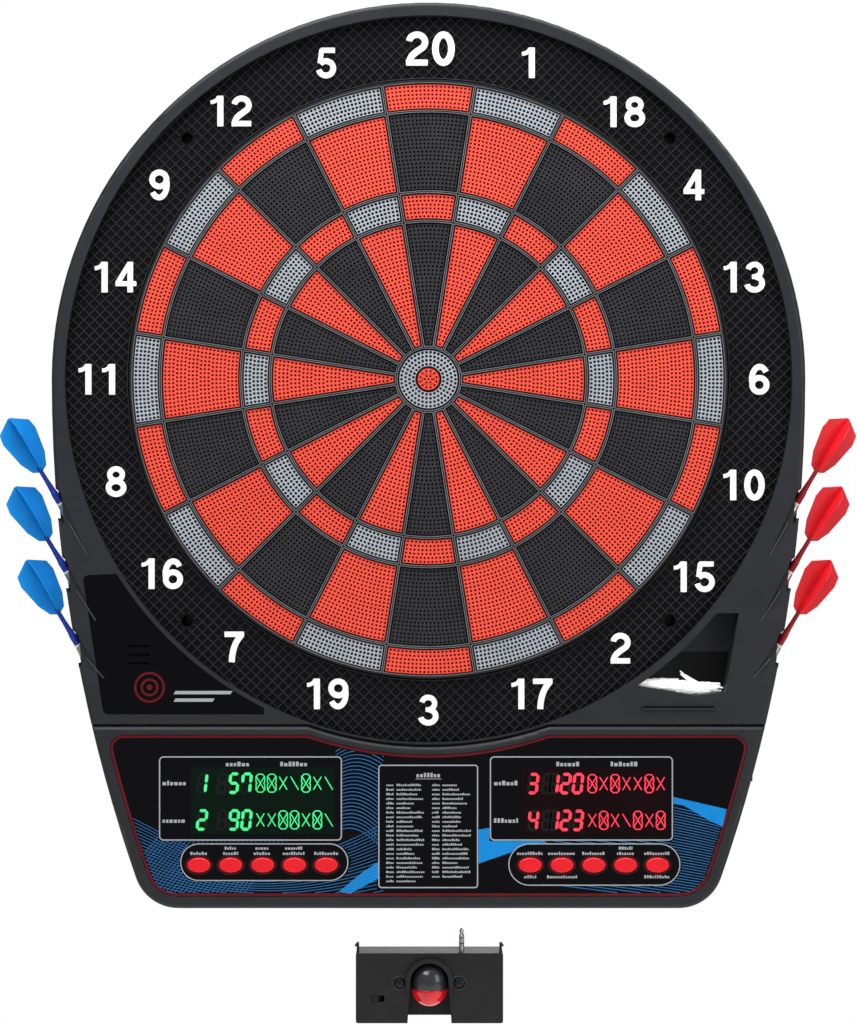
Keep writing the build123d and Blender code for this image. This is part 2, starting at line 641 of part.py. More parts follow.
def laser_dome():
    """Swivelling ball: dark hood above, red lens below, as two solids."""
    ball = dome_centre() * Sphere(DOME_R)
    stretch = (DOME_Z - LENS_BASE_Z) / DOME_R
    drop = dome_centre() * scale(Sphere(DOME_R - 0.4), by=(1, 1, stretch * DOME_R / (DOME_R - 0.4)))
    above = Pos(DOME_X, 0, LENS_TOP_Z + 50) * Box(100, 100, 100)
    return joined([ball & above, drop - above])


def laser_switch():
    """Slide knob at the left end of its slot, with the slider behind the case wall."""
    x_low, x_high, z_low, z_high = LSWITCH_SLOT
    knob_x = x_low + LSWITCH_GAP + LSWITCH_KNOB[0] / 2
    middle = (z_low + z_high) / 2
    knob = plate(at(knob_x, middle, Rectangle(*LSWITCH_KNOB)), LASER_FRONT - LASER_WALL - 2, LASER_FRONT + 0.8)
    slider = at(knob_x, middle, Rectangle(LSWITCH_KNOB[0] + 3, LSWITCH_KNOB[1] + 3))
    return knob + plate(slider, LASER_FRONT - LASER_WALL - 2, LASER_FRONT - LASER_WALL - 0.3)


def laser_jack_plug():
    top = LASER_TOP_Z + PLUG_L
    shank = Pos(PLUG_X, -PLUG_DEPTH, top - 1.5 - (PLUG_L + 2) / 2) * Cylinder(PLUG_R, PLUG_L + 2)
    nose = Pos(PLUG_X, -PLUG_DEPTH, top - 0.75) * Cone(PLUG_R, 0.8, 1.5)
    return shank + nose


# ---------------------------------------------------------------- write the nodes

save("upper_housing", upper_housing())
save("console_housing", console_housing())
save("rear_cover", rear_cover())
save("housing_screws", housing_screws())
save("catch_ring", catch_ring())
save("spider", spider())

sector = top_sector()
for turn, number in enumerate(SECTORS):
    turned = [Rot(0, SECTOR_DEG * turn, 0) * segment for segment in sector]
    save(f"segments_{number}", joined(turned))
save("outer_bull_segment", outer_bull_segment())
save("inner_bull_segment", inner_bull_segment())

save("sensor_mat", plate(Circle(STACK_R), MEMBRANE_FRONT, MAT_FRONT))
save("sensor_membrane", plate(Circle(STACK_R), BOARD_FRONT, MEMBRANE_FRONT))
save("backing_board", plate(Circle(STACK_R), BOARD_BACK, BOARD_FRONT))

save("console_panel", console_panel())
one_button = button()
for index, x in enumerate(BUTTON_X):
    save(f"button_{index + 1}", Pos(x, 0, 0) * one_button)
save("button_switches", button_switches())
save("main_board", main_board())
save("display_modules", display_modules())
save("ribbon_cables", ribbon_cables())
save("power_jack", power_jack())
save("speaker", speaker())
save("badge_panel", badge_panel())
save("spare_tips", joined(spare_tips()))

for index, joint in enumerate(DART_JOINTS):
    save(f"dart_blue_{index + 1}", dart(joint, -1))
    save(f"dart_red_{index + 1}", dart(joint, 1))

save("laser_case", laser_case())
save("laser_dome", laser_dome())
save("laser_switch", laser_switch())
save("laser_jack_plug", laser_jack_plug())
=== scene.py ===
import math
import random

import bmesh
import bpy
from mathutils import Matrix, Vector


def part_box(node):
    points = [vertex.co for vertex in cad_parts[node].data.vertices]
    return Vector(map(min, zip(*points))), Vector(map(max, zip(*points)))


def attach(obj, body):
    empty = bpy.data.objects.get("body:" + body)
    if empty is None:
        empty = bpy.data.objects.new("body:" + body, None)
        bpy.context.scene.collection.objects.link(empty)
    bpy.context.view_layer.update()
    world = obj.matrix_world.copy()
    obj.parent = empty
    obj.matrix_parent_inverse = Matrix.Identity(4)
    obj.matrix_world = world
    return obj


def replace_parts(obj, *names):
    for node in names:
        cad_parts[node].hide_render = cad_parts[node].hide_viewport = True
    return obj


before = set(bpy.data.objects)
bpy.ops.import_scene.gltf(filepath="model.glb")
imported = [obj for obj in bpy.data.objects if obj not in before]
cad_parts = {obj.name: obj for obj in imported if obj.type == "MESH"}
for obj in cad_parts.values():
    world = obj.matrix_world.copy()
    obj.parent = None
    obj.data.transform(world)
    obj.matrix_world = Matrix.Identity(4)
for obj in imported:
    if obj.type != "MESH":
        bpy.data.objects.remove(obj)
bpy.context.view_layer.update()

# Shapes are worked out in millimetres in front view: x to the right, z up, and d, the distance off
# the wall towards the player. Only mesh() turns them into metres in the row frame.

MM = 0.001
SECTORS = (20, 1, 18, 4, 13, 6, 10, 15, 2, 17, 3, 19, 7, 16, 8, 11, 14, 9, 12, 5)
BLACK_SECTORS = (20, 18, 13, 10, 2, 3, 7, 8, 14, 12)
SECTOR = 2 * math.pi / len(SECTORS)
BOARD = "board"


def box_mm(node):
    """Edges of a CAD node in front view, in mm: x, z and d, each as (low, high)."""
    low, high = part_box(node)
    return (low.x / MM, high.x / MM), (low.z / MM, high.z / MM), (-high.y / MM, -low.y / MM)


# ---------------------------------------------------------------- materials

def srgb(red, green, blue):
    """Linear colour from the usual 0 to 255 values."""
    values = []
    for value in (red, green, blue):
        c = value / 255
        values.append(c / 12.92 if c <= 0.04045 else ((c + 0.055) / 1.055) ** 2.4)
    return (*values, 1.0)


def finish_material(name, colour, rough, metallic=0.0, coat=0.0, mottle=0.12, mottle_scale=60.0,
                    grain=0.15, grain_scale=2500.0, specular=0.3, transmission=0.0, glow=0.0,
                    stretch=(1, 1, 1)):
    """A moulded or metal surface: soft colour mottle, uneven gloss and a fine grain in the bump."""
    material = bpy.data.materials.new(name)
    material.use_nodes = True
    tree = material.node_tree
    shader = tree.nodes["Principled BSDF"]
    shader.inputs["Metallic"].default_value = metallic
    shader.inputs["Coat Weight"].default_value = coat
    shader.inputs["Coat Roughness"].default_value = 0.06
    shader.inputs["Specular IOR Level"].default_value = specular
    shader.inputs["Transmission Weight"].default_value = transmission
    place = tree.nodes.new("ShaderNodeTexCoord")
    spread = tree.nodes.new("ShaderNodeMapping")
    spread.inputs["Scale"].default_value = stretch
    tree.links.new(place.outputs["Object"], spread.inputs["Vector"])
    patch = tree.nodes.new("ShaderNodeTexNoise")
    patch.inputs["Scale"].default_value = mottle_scale
    patch.inputs["Detail"].default_value = 6.0
    tree.links.new(spread.outputs["Vector"], patch.inputs["Vector"])
    tint = tree.nodes.new("ShaderNodeValToRGB")
    tint.color_ramp.elements[0].position = 0.3
    tint.color_ramp.elements[0].color = (*[c * (1 - mottle) for c in colour[:3]], 1)
    tint.color_ramp.elements[1].position = 0.7
    tint.color_ramp.elements[1].color = (*[min(1, c * (1 + mottle)) for c in colour[:3]], 1)
    tree.links.new(patch.outputs["Fac"], tint.inputs["Fac"])
    tree.links.new(tint.outputs["Color"], shader.inputs["Base Color"])
    gloss = tree.nodes.new("ShaderNodeMapRange")
    gloss.inputs["To Min"].default_value = max(0.02, rough * 0.8)
    gloss.inputs["To Max"].default_value = min(1.0, rough * 1.2)
    tree.links.new(patch.outputs["Fac"], gloss.inputs["Value"])
    tree.links.new(gloss.outputs["Result"], shader.inputs["Roughness"])
    fine = tree.nodes.new("ShaderNodeTexNoise")
    fine.inputs["Scale"].default_value = grain_scale
    fine.inputs["Detail"].default_value = 3.0
    tree.links.new(spread.outputs["Vector"], fine.inputs["Vector"])
    bump = tree.nodes.new("ShaderNodeBump")
    bump.inputs["Strength"].default_value = grain
    bump.inputs["Distance"].default_value = 0.0002
    tree.links.new(fine.outputs["Fac"], bump.inputs["Height"])
    tree.links.new(bump.outputs["Normal"], shader.inputs["Normal"])
    if glow:
        tree.links.new(tint.outputs["Color"], shader.inputs["Emission Color"])
        shader.inputs["Emission Strength"].default_value = glow
    return material


HOUSING = finish_material("housing", srgb(35, 36, 40), 0.5, grain=0.35, grain_scale=1800.0, mottle=0.06)
# Painted highlight: a lighter copy of the housing colour for edges that catch the light.
EDGE_HIGHLIGHT = finish_material("edge_highlight", srgb(70, 71, 75), 0.35, grain=0.2)
COVER = finish_material("cover", srgb(38, 38, 40), 0.55, grain=0.4, grain_scale=1500.0)
RING = finish_material("catch_ring", srgb(7, 7, 9), 0.6, grain=0.2, specular=0.12)
GRID = finish_material("catch_grid", srgb(42, 42, 46), 0.45, grain=0.2)
SPIDER = finish_material("spider", srgb(26, 26, 28), 0.5, grain=0.15)
# Painted highlight: light grey for the lit crest of the web.
WEB_HIGHLIGHT = finish_material("web_highlight", srgb(118, 120, 125), 0.4, grain=0.1)
# Painted shade: dark copies of the segment colours for holes, chamfers and side walls. The second also
# colours the screw recess crosses, and the jack plug's rings in their own black.
SHADE_RED = finish_material("painted_shade_red", srgb(96, 18, 18), 0.6, grain=0.1)
SHADE_AND_RING_BLACK = finish_material("painted_shade_and_ring_black", srgb(14, 14, 16), 0.6, grain=0.1)
RED = finish_material("segment_red", srgb(231, 78, 60), 0.45, mottle=0.05, grain=0.12)
GREY = finish_material("segment_grey", srgb(166, 172, 180), 0.45, mottle=0.05, grain=0.12)
BLACK = finish_material("segment_black", srgb(44, 44, 48), 0.42, grain=0.12)
WHITE = finish_material("numeral_white", srgb(246, 247, 249), 0.5, mottle=0.02, grain=0.05)
PANEL = finish_material("panel_gloss", srgb(8, 8, 12), 0.14, coat=0.15, specular=0.1, mottle=0.05, grain=0.02)
BADGE = finish_material("badge_gloss", srgb(6, 6, 9), 0.12, coat=0.15, specular=0.1, mottle=0.05, grain=0.02)
TRIM = finish_material("panel_trim", srgb(96, 20, 28), 0.3, coat=0.1, grain=0.03, specular=0.2)
PRINT = finish_material("panel_print", srgb(160, 163, 168), 0.4, mottle=0.04, grain=0.03)
BLUE_LINE = finish_material("panel_lines", srgb(38, 104, 160), 0.4, mottle=0.15, grain=0.03)
BLUE_BAND = finish_material("panel_band", srgb(8, 130, 205), 0.35, mottle=0.05, grain=0.03)
WINDOW_GREEN = finish_material("window_green", srgb(6, 22, 15), 0.15, coat=0.1, specular=0.1, grain=0.02)
WINDOW_RED = finish_material("window_red", srgb(20, 6, 9), 0.15, coat=0.1, specular=0.1, grain=0.02)
LED_GREEN = finish_material("led_green", srgb(60, 205, 120), 0.4, mottle=0.1, grain=0.03, glow=0.55)
LED_RED = finish_material("led_red", srgb(240, 55, 75), 0.4, mottle=0.1, grain=0.03, glow=0.55)
LED_OFF = finish_material("led_off", srgb(4, 9, 7), 0.4, grain=0.03)
BUTTON = finish_material("button_red", srgb(226, 28, 40), 0.33, mottle=0.04, grain=0.08)
HALO = finish_material("button_halo", srgb(66, 10, 16), 0.3, grain=0.03)
DARK = finish_material("dark_plastic", srgb(24, 24, 26), 0.5)
LASER = finish_material("laser_case", srgb(28, 28, 30), 0.5, grain=0.3, grain_scale=1800.0)
HOOD = finish_material("laser_hood", srgb(48, 49, 54), 0.2, coat=0.4, mottle=0.08, grain=0.04)
LENS = finish_material("laser_lens", srgb(200, 14, 24), 0.1, coat=0.4, mottle=0.2, grain=0.03,
                       transmission=0.2, glow=0.3)
STEEL = finish_material("steel", srgb(196, 190, 184), 0.28, metallic=1.0, grain=0.1, mottle=0.08)
SCREW = finish_material("screw", srgb(52, 52, 55), 0.35, metallic=0.9, grain=0.1)
BOARD_GREEN = finish_material("circuit_board", srgb(20, 84, 46), 0.4, mottle=0.2)
FILM = finish_material("film", srgb(205, 203, 190), 0.3, mottle=0.06)
RUBBER = finish_material("rubber", srgb(28, 28, 28), 0.8, grain=0.4)
TIP = finish_material("tip_white", srgb(238, 238, 234), 0.4, mottle=0.04, grain=0.08)
# Painted light: the heap glows so that the tips stay bright in the shaded pocket.
HEAP_GLOW = finish_material("heap_white_painted_glow", srgb(248, 248, 246), 0.6, mottle=0.03, grain=0.08, glow=0.35)
NYLON_BLUE = finish_material("shaft_blue", srgb(34, 58, 160), 0.35, mottle=0.08)
NYLON_RED = finish_material("shaft_red", srgb(150, 24, 34), 0.35, mottle=0.08)
FLIGHT_BLUE = finish_material("flight_blue", srgb(4, 132, 212), 0.32, coat=0.2, mottle=0.1,
                              mottle_scale=45.0, grain=0.05)
FLIGHT_RED = finish_material("flight_red", srgb(222, 30, 42), 0.32, coat=0.2, mottle=0.1,
                             mottle_scale=45.0, grain=0.05)


def paint(material, *nodes):
    """Give CAD nodes that stay in view, or inside, a material."""
    for node in nodes:
        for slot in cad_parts[node].material_slots:
            slot.material = material


# ---------------------------------------------------------------- mesh helpers

class Shape:
    """Vertices (x, z, d) in mm and faces, wound anticlockwise as seen from outside."""

    def __init__(self):
        self.points = []
        self.faces = []

    def add(self, points, faces):
        base = len(self.points)
        self.points.extend(points)
        self.faces.extend(tuple(base + i for i in face) for face in faces)

    def prism(self, outline, low, high):
        """Closed outline, anticlockwise in front view, made solid between two depths."""
        count = len(outline)
        points = [(x, z, high) for x, z in outline] + [(x, z, low) for x, z in outline]
        sides = [(i + count, (i + 1) % count + count, (i + 1) % count, i) for i in range(count)]
        front = tuple(range(count))
        back = tuple(range(2 * count - 1, count - 1, -1))
        self.add(points, [front, back] + sides)

    def ribbon(self, path, width, low, high, closed=False):
        """Line of even width drawn along a path."""
        left, right = offset_path(path, width / 2, closed), offset_path(path, -width / 2, closed)
        count = len(path)
        points = [(x, z, d) for side, d in ((left, high), (right, high), (right, low), (left, low))
                  for x, z in side]
        faces = []
        for i in range(count if closed else count - 1):
            j = (i + 1) % count
            for a, b in ((0, 1), (1, 2), (2, 3), (3, 0)):
                faces.append((a * count + i, b * count + i, b * count + j, a * count + j))
        if not closed:
            faces.append((0, 3 * count, 2 * count, count))
            faces.append((count - 1, 2 * count - 1, 3 * count - 1, 4 * count - 1))
        self.add(points, faces)


def offset_path(path, distance, closed):
    """Path moved sideways to its left, with mitred corners."""
    result = []
    count = len(path)
    for i, (x, z) in enumerate(path):
        before = path[i - 1] if i > 0 or closed else path[0]
        after = path[(i + 1) % count] if i < count - 1 or closed else path[-1]
        arrive = Vector((x - before[0], z - before[1]))
        leave = Vector((after[0] - x, after[1] - z))
        arrive = arrive.normalized() if arrive.length > 1e-9 else leave.normalized()
        leave = leave.normalized() if leave.length > 1e-9 else arrive
        middle = (arrive + leave).normalized() if (arrive + leave).length > 1e-6 else arrive
        stretch = distance / max(0.4, middle.dot(arrive))
        result.append((x - middle.y * stretch, z + middle.x * stretch))
    return result


def mesh_data(name, shape, weld, recalculate=True):
    """Mesh in metres from a Shape; points closer than weld are joined."""
    data = bpy.data.meshes.new(name)
    data.from_pydata([(x * MM, -d * MM, z * MM) for x, z, d in shape.points], [], shape.faces)
    work = bmesh.new()
    work.from_mesh(data)
    if weld:
        bmesh.ops.remove_doubles(work, verts=work.verts, dist=weld * MM)
    if recalculate:
        bmesh.ops.recalc_face_normals(work, faces=work.faces)
    work.to_mesh(data)
    work.free()
    return data


def mesh(name, shape, material, body, weld=0.0, smooth=False, bevel=0.0):
    """Blender object from a Shape, riding on a CAD body."""
    return piece(name, mesh_data(name, shape, weld), material, body, smooth, bevel)


def piece(name, data, material, body, smooth=False, bevel=0.0):
    """Object with a material, riding on a body; bevel rounds its edges, in mm."""
    item = bpy.data.objects.new(name, data)
    bpy.context.scene.collection.objects.link(item)
    data.materials.append(material)
    if smooth:
        data.shade_smooth()
    if bevel:
        rounding = item.modifiers.new("Bevel", "BEVEL")
        rounding.width = bevel * MM
        rounding.segments = 2
        rounding.limit_method = "ANGLE"
    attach(item, body)
    return item


def arc(cx, cz, rx, rz, start, end, steps):
    """Points along an ellipse; angles in degrees, anticlockwise from the right."""
    points = []
    for i in range(steps + 1):
        a = math.radians(start + (end - start) * i / steps)
        points.append((cx + rx * math.cos(a), cz + rz * math.sin(a)))
    return points


def rounded_box(x_low, x_high, z_low, z_high, radius, steps=6):
    """Anticlockwise rounded rectangle."""
    r = radius
    centres = ((x_high - r, z_low + r), (x_high - r, z_high - r), (x_low + r, z_high - r),
               (x_low + r, z_low + r))
    points = []
    for quarter, (x, z) in enumerate(centres):
        points += arc(x, z, r, r, 90 * quarter - 90, 90 * quarter, steps)
    return points


def bezier(points, steps):
    """Quadratic or cubic Bezier curve through its control points' hull."""
    curve = []
    for i in range(steps + 1):
        t = i / steps
        level = [Vector(p) for p in points]
        while len(level) > 1:
            level = [a.lerp(b, t) for a, b in zip(level, level[1:])]
        curve.append(tuple(level[0]))
    return curve


def revolve(profile, frame_matrix, steps=32):
    """Closed solid of revolution: profile of (radius, height) in mm about the matrix's Z axis."""
    points, faces = [], []
    count = len(profile)
    for i in range(steps):
        a = 2 * math.pi * i / steps
        for radius, height in profile:
            point = frame_matrix @ Vector((radius * math.cos(a), radius * math.sin(a), height))
            points.append((point.x, point.z, -point.y))
        j = (i + 1) % steps
        for k in range(count - 1):
            faces.append((i * count + k, j * count + k, j * count + k + 1, i * count + k + 1))
    return points, faces


# ---------------------------------------------------------------- scoring segments

WEB_RADII = (21.5, 105.6, 125.2, 179.0, 198.7)
SEG_INSET = 1.35
SEG_CHAMFER = 0.6
SEG_FACE = 41.2
SEG_BACK = 30.2
HOLE_PITCH = 2.68
HOLE_R = 0.78
PALE_HOLE_R = 0.98
HOLE_DEPTH = 3.2
OCTAGON = [(math.cos(math.radians(22.5 + 45 * k)), math.sin(math.radians(22.5 + 45 * k))) for k in range(8)]


def hole_cell(shape, corners, size):
    """One four-sided cell of the perforated face with its dart hole."""
    (ax, az), (bx, bz), (cx, cz), (dx, dz) = corners
    mx, mz = (ax + bx + cx + dx) / 4, (az + bz + cz + dz) / 4
    across = Vector((bx - ax + cx - dx, bz - az + cz - dz)).normalized()
    up = Vector((-across.y, across.x))
    rim = [(mx + size * (u * across.x + v * up.x), mz + size * (u * across.y + v * up.y)) for u, v in OCTAGON]
    points = [(x, z, SEG_FACE) for x, z in corners] + [(x, z, SEG_FACE) for x, z in rim]
    points += [(x, z, SEG_FACE - HOLE_DEPTH) for x, z in rim]
    o, p = 4, 12
    faces = [(0, 1, o + 6, o + 5), (1, 2, o, o + 7), (2, 3, o + 2, o + 1), (3, 0, o + 4, o + 3),
             (1, o + 7, o + 6), (2, o + 1, o), (3, o + 3, o + 2), (0, o + 5, o + 4),
             tuple(range(p, p + 8))]
    faces += [(o + k, o + (k + 1) % 8, p + (k + 1) % 8, p + k) for k in range(8)]
    shape.add(points, faces)


def sector_point(radius, side, inset):
    """Point of the top sector: side runs from -1 (left edge) to 1 (right edge)."""
    half = SECTOR / 2 - math.asin(inset / radius)
    return (radius * math.sin(side * half), radius * math.cos(side * half))


def segment(shape, index, size):
    """One perforated scoring segment of the top sector, with chamfered edges."""
    top = SEG_INSET + SEG_CHAMFER
    low, high = WEB_RADII[index] + top, WEB_RADII[index + 1] - top
    rows = round((high - low) / HOLE_PITCH)
    radii = [low + (high - low) * i / rows for i in range(rows + 1)]
    counts = []
    for r0, r1 in zip(radii, radii[1:]):
        middle = (r0 + r1) / 2
        wide = 2 * middle * (SECTOR / 2 - math.asin(top / middle))
        count = max(1, round(wide / HOLE_PITCH))
        counts.append(count)
        for j in range(count):
            s0, s1 = -1 + 2 * j / count, -1 + 2 * (j + 1) / count
            hole_cell(shape, [sector_point(r0, s0, top), sector_point(r0, s1, top),
                              sector_point(r1, s1, top), sector_point(r1, s0, top)], size)
    inner = [(low, -1 + 2 * j / counts[0]) for j in range(counts[0] + 1)]
    outer = [(high, 1 - 2 * j / counts[-1]) for j in range(counts[-1] + 1)]
    loop = inner + [(r, 1) for r in radii[1:-1]] + outer + [(r, -1) for r in reversed(radii[1:-1])]
    edge = []
    for radius, side in loop:
        if radius == low:
            radius = WEB_RADII[index] + SEG_INSET
        elif radius == high:
            radius = WEB_RADII[index + 1] - SEG_INSET
        edge.append(sector_point(radius, side, SEG_INSET))
    face = [(*sector_point(radius, side, top), SEG_FACE) for radius, side in loop]
    skirt(shape, face, edge)


def skirt(shape, face, edge):
    """Chamfer, side walls and back of a segment, from the edge of its face."""
    count = len(face)
    points = face + [(x, z, SEG_FACE - SEG_CHAMFER) for x, z in edge] + [(x, z, SEG_BACK) for x, z in edge]
    faces = []
    for i in range(count):
        j = (i + 1) % count
        faces.append((count + i, count + j, j, i))
        faces.append((2 * count + i, 2 * count + j, count + j, count + i))
    faces.append(tuple(range(3 * count - 1, 2 * count - 1, -1)))
    shape.add(points, faces)


def darken_below_face(item, hole):
    """Painted shade: everything but the flat front of a segment, its holes included, takes the dark shade
    colour.
    """
    item.data.materials.append(hole)
    for polygon in item.data.polygons:
        if polygon.center.y > -(SEG_FACE - 0.05) * MM:
            polygon.material_index = 1


def sector_mesh(name, indices, size):
    """Mesh of the top sector's segments at the given places between the webs."""
    shape = Shape()
    for index in indices:
        segment(shape, index, size)
    return mesh_data(name, shape, 0.01, recalculate=False)


def build_segments():
    """Twenty sectors, each a pair of single segments and a pair of double and triple."""
    singles = sector_mesh("singles", (0, 2), HOLE_R)
    red_scorers = sector_mesh("red_scorers", (1, 3), HOLE_R)
    grey_scorers = sector_mesh("grey_scorers", (1, 3), PALE_HOLE_R)
    for turn, number in enumerate(SECTORS):
        spin = Matrix.Rotation(SECTOR * turn, 4, "Y")
        node = f"segments_{number}"
        if number in BLACK_SECTORS:
            kinds = (("singles", singles, BLACK, "segment_black"),
                     ("scorers", red_scorers, RED, "segment_red"))
        else:
            kinds = (("singles", singles, RED, "segment_red"),
                     ("scorers", grey_scorers, GREY, "segment_grey"))
        for kind, base, material, slot in kinds:
            data = base.copy()
            data.transform(spin)
            item = piece(f"{kind}_{number}", data, material, node)
            # Painted shade on holes, chamfers and side walls.
            darken_below_face(item, SHADE_RED if material is RED else SHADE_AND_RING_BLACK)
            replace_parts(item, node)
    for base in (singles, red_scorers, grey_scorers):
        bpy.data.meshes.remove(base)


def ring_segment(shape, low, high, edge_low, edge_high, pitch, size):
    """Perforated round segment between two radii."""
    rows = max(1, round((high - low) / HOLE_PITCH))
    radii = [low + (high - low) * i / rows for i in range(rows + 1)]
    count = 8

    def spot(radius, j):
        return (radius * math.sin(2 * math.pi * j / count), radius * math.cos(2 * math.pi * j / count))

    for r0, r1 in zip(radii, radii[1:]):
        count = max(6, round(math.pi * (r0 + r1) / pitch))
        for j in range(count):
            hole_cell(shape, [spot(r0, j), spot(r0, j + 1), spot(r1, j + 1), spot(r1, j)], size)
    count = 64
    outer = [spot(high, -j) for j in range(count)]
    wall_loop(shape, outer, [spot(edge_high, -j) for j in range(count)])
    if edge_low:
        inner = [spot(low, j) for j in range(count)]
        wall_loop(shape, inner, [spot(edge_low, j) for j in range(count)])
        back_out = [(*spot(edge_high, j), SEG_BACK) for j in range(count)]
        back_in = [(*spot(edge_low, j), SEG_BACK) for j in range(count)]
        faces = [(j, (j + 1) % count, count + (j + 1) % count, count + j) for j in range(count)]
        shape.add(back_out + back_in, faces)
    else:
        shape.add([(*spot(edge_high, j), SEG_BACK) for j in range(count)], [tuple(range(count))])


def wall_loop(shape, face, edge):
    """Chamfer and side wall round a closed loop."""
    count = len(face)
    points = [(x, z, SEG_FACE) for x, z in face] + [(x, z, SEG_FACE - SEG_CHAMFER) for x, z in edge]
    points += [(x, z, SEG_BACK) for x, z in edge]
    faces = []
    for i in range(count):
        j = (i + 1) % count
        faces.append((count + i, count + j, j, i))
        faces.append((2 * count + i, 2 * count + j, count + j, count + i))
    shape.add(points, faces)


BULL_RING = (8.3, 20.0)
BULL_IN_R = 7.8
BULL_HUB_R = 1.35
EYE_PITCH = 3.0


def build_bulls():
    """Perforated bull ring and the eye inside it."""
    outer = Shape()
    low, high = BULL_RING
    ring_segment(outer, low + SEG_CHAMFER, high - SEG_CHAMFER, low, high, HOLE_PITCH, PALE_HOLE_R)
    ring = mesh("bull_ring", outer, GREY, "outer_bull", weld=0.01)
    darken_below_face(ring, SHADE_AND_RING_BLACK)
    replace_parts(ring, "outer_bull_segment")
    inner = Shape()
    ring_segment(inner, BULL_HUB_R, BULL_IN_R - SEG_CHAMFER, 0.0, BULL_IN_R, EYE_PITCH, HOLE_R)
    hub, rim = [[(radius * math.sin(-a * math.pi / 3), radius * math.cos(a * math.pi / 3)) for a in range(6)]
                for radius in (BULL_HUB_R, HOLE_R)]
    points = [(x, z, SEG_FACE) for x, z in hub + rim] + [(x, z, SEG_FACE - HOLE_DEPTH) for x, z in rim]
    faces = []
    for k in range(6):
        j = (k + 1) % 6
        faces += [(k, j, 6 + j, 6 + k), (6 + k, 6 + j, 12 + j, 12 + k)]
    inner.add(points, faces + [tuple(range(12, 18))])
    eye = mesh("bull_eye", inner, RED, "inner_bull", weld=0.01)
    darken_below_face(eye, SHADE_RED)
    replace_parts(eye, "inner_bull_segment")


# ---------------------------------------------------------------- spider and catch ring

def web_ring(shape, radius, section, steps=240):
    """Closed ring swept from a (sideways, depth) section."""
    count = len(section)
    points = []
    for i in range(steps):
        a = 2 * math.pi * i / steps
        points += [((radius + s) * math.sin(a), (radius + s) * math.cos(a), d) for s, d in section]
    faces = []
    for i in range(steps):
        j = (i + 1) % steps
        for k in range(count):
            m = (k + 1) % count
            faces.append((i * count + k, i * count + m, j * count + m, j * count + k))
    shape.add(points, faces)


def build_spider():
    """Fine web with a bevelled crest in place of the plain one."""
    base, crest, foot = 0.85, 0.42, 30.0
    section = [(-base, foot), (base, foot), (base, 40.9), (crest, 42.0), (-crest, 42.0), (-base, 40.9)]
    shape = Shape()
    for radius in WEB_RADII[:-1]:
        web_ring(shape, radius, section)
    wall = [(-1.2, foot), (1.3, foot), (1.3, 40.6), (0.7, 42.0), (-0.5, 42.0), (-1.2, 41.0)]
    web_ring(shape, WEB_RADII[-1], wall, 360)
    for k in range(len(SECTORS)):
        a = SECTOR * (k + 0.5)
        along, side = (math.sin(a), math.cos(a)), (math.cos(a), -math.sin(a))
        points = []
        for radius in (WEB_RADII[0], WEB_RADII[-1]):
            points += [(radius * along[0] + s * side[0], radius * along[1] + s * side[1], d)
                       for s, d in section]
        count = len(section)
        faces = [(m, (m + 1) % count, count + (m + 1) % count, count + m) for m in range(count)]
        faces += [tuple(range(count - 1, -1, -1)), tuple(range(count, 2 * count))]
        shape.add(points, faces)
    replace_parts(mesh("spider_web", shape, SPIDER, BOARD), "spider")


def build_web_lines():
    """Painted highlights: light lines along the web round every scoring cell, standing in for light caught by
    the web's rounded crest.
    """
    inset, width, low, high = 0.62, 0.42, 41.2, 41.98
    shape = Shape()
    for turn in range(len(SECTORS)):
        spin = SECTOR * turn
        for inner, outer in zip(WEB_RADII, WEB_RADII[1:]):
            steps = max(3, round(outer / 14))
            loop = [sector_point(inner + inset, -1 + 2 * k / steps, inset) for k in range(steps + 1)]
            loop += [sector_point(outer - inset, 1 - 2 * k / steps, inset) for k in range(steps + 1)]
            path = [(x * math.cos(spin) + z * math.sin(spin), z * math.cos(spin) - x * math.sin(spin))
                    for x, z in loop]
            shape.ribbon(path, width, low, high, True)
    round_bull = WEB_RADII[0] - inset
    shape.ribbon(arc(0, 0, round_bull, round_bull, 0, 360, 64)[:-1], width, low, high, True)
    mesh("web_highlights", shape, WEB_HIGHLIGHT, BOARD)


CATCH_IN, CATCH_OUT = 200.8, 242.4
GRID_PITCH = 5.09
GRID_RIB = 0.8
WALL_HOLE = 161.3
WALL_HOLES = [(x, z) for x in (-WALL_HOLE, WALL_HOLE) for z in (-WALL_HOLE, WALL_HOLE)]
HOLE_GAP = 5.0   # the grid stops this far from a wall hole's centre


def spans_clear_of(spans, holes):
    """Cut round holes, given as (position, half-length), out of stretches of a line."""
    for centre, half in holes:
        cut = []
        for low, high in spans:
            if high <= centre - half or low >= centre + half:
                cut.append((low, high))
                continue
            if low < centre - half:
                cut.append((low, centre - half))
            if high > centre + half:
                cut.append((centre + half, high))
        spans = cut
    return spans


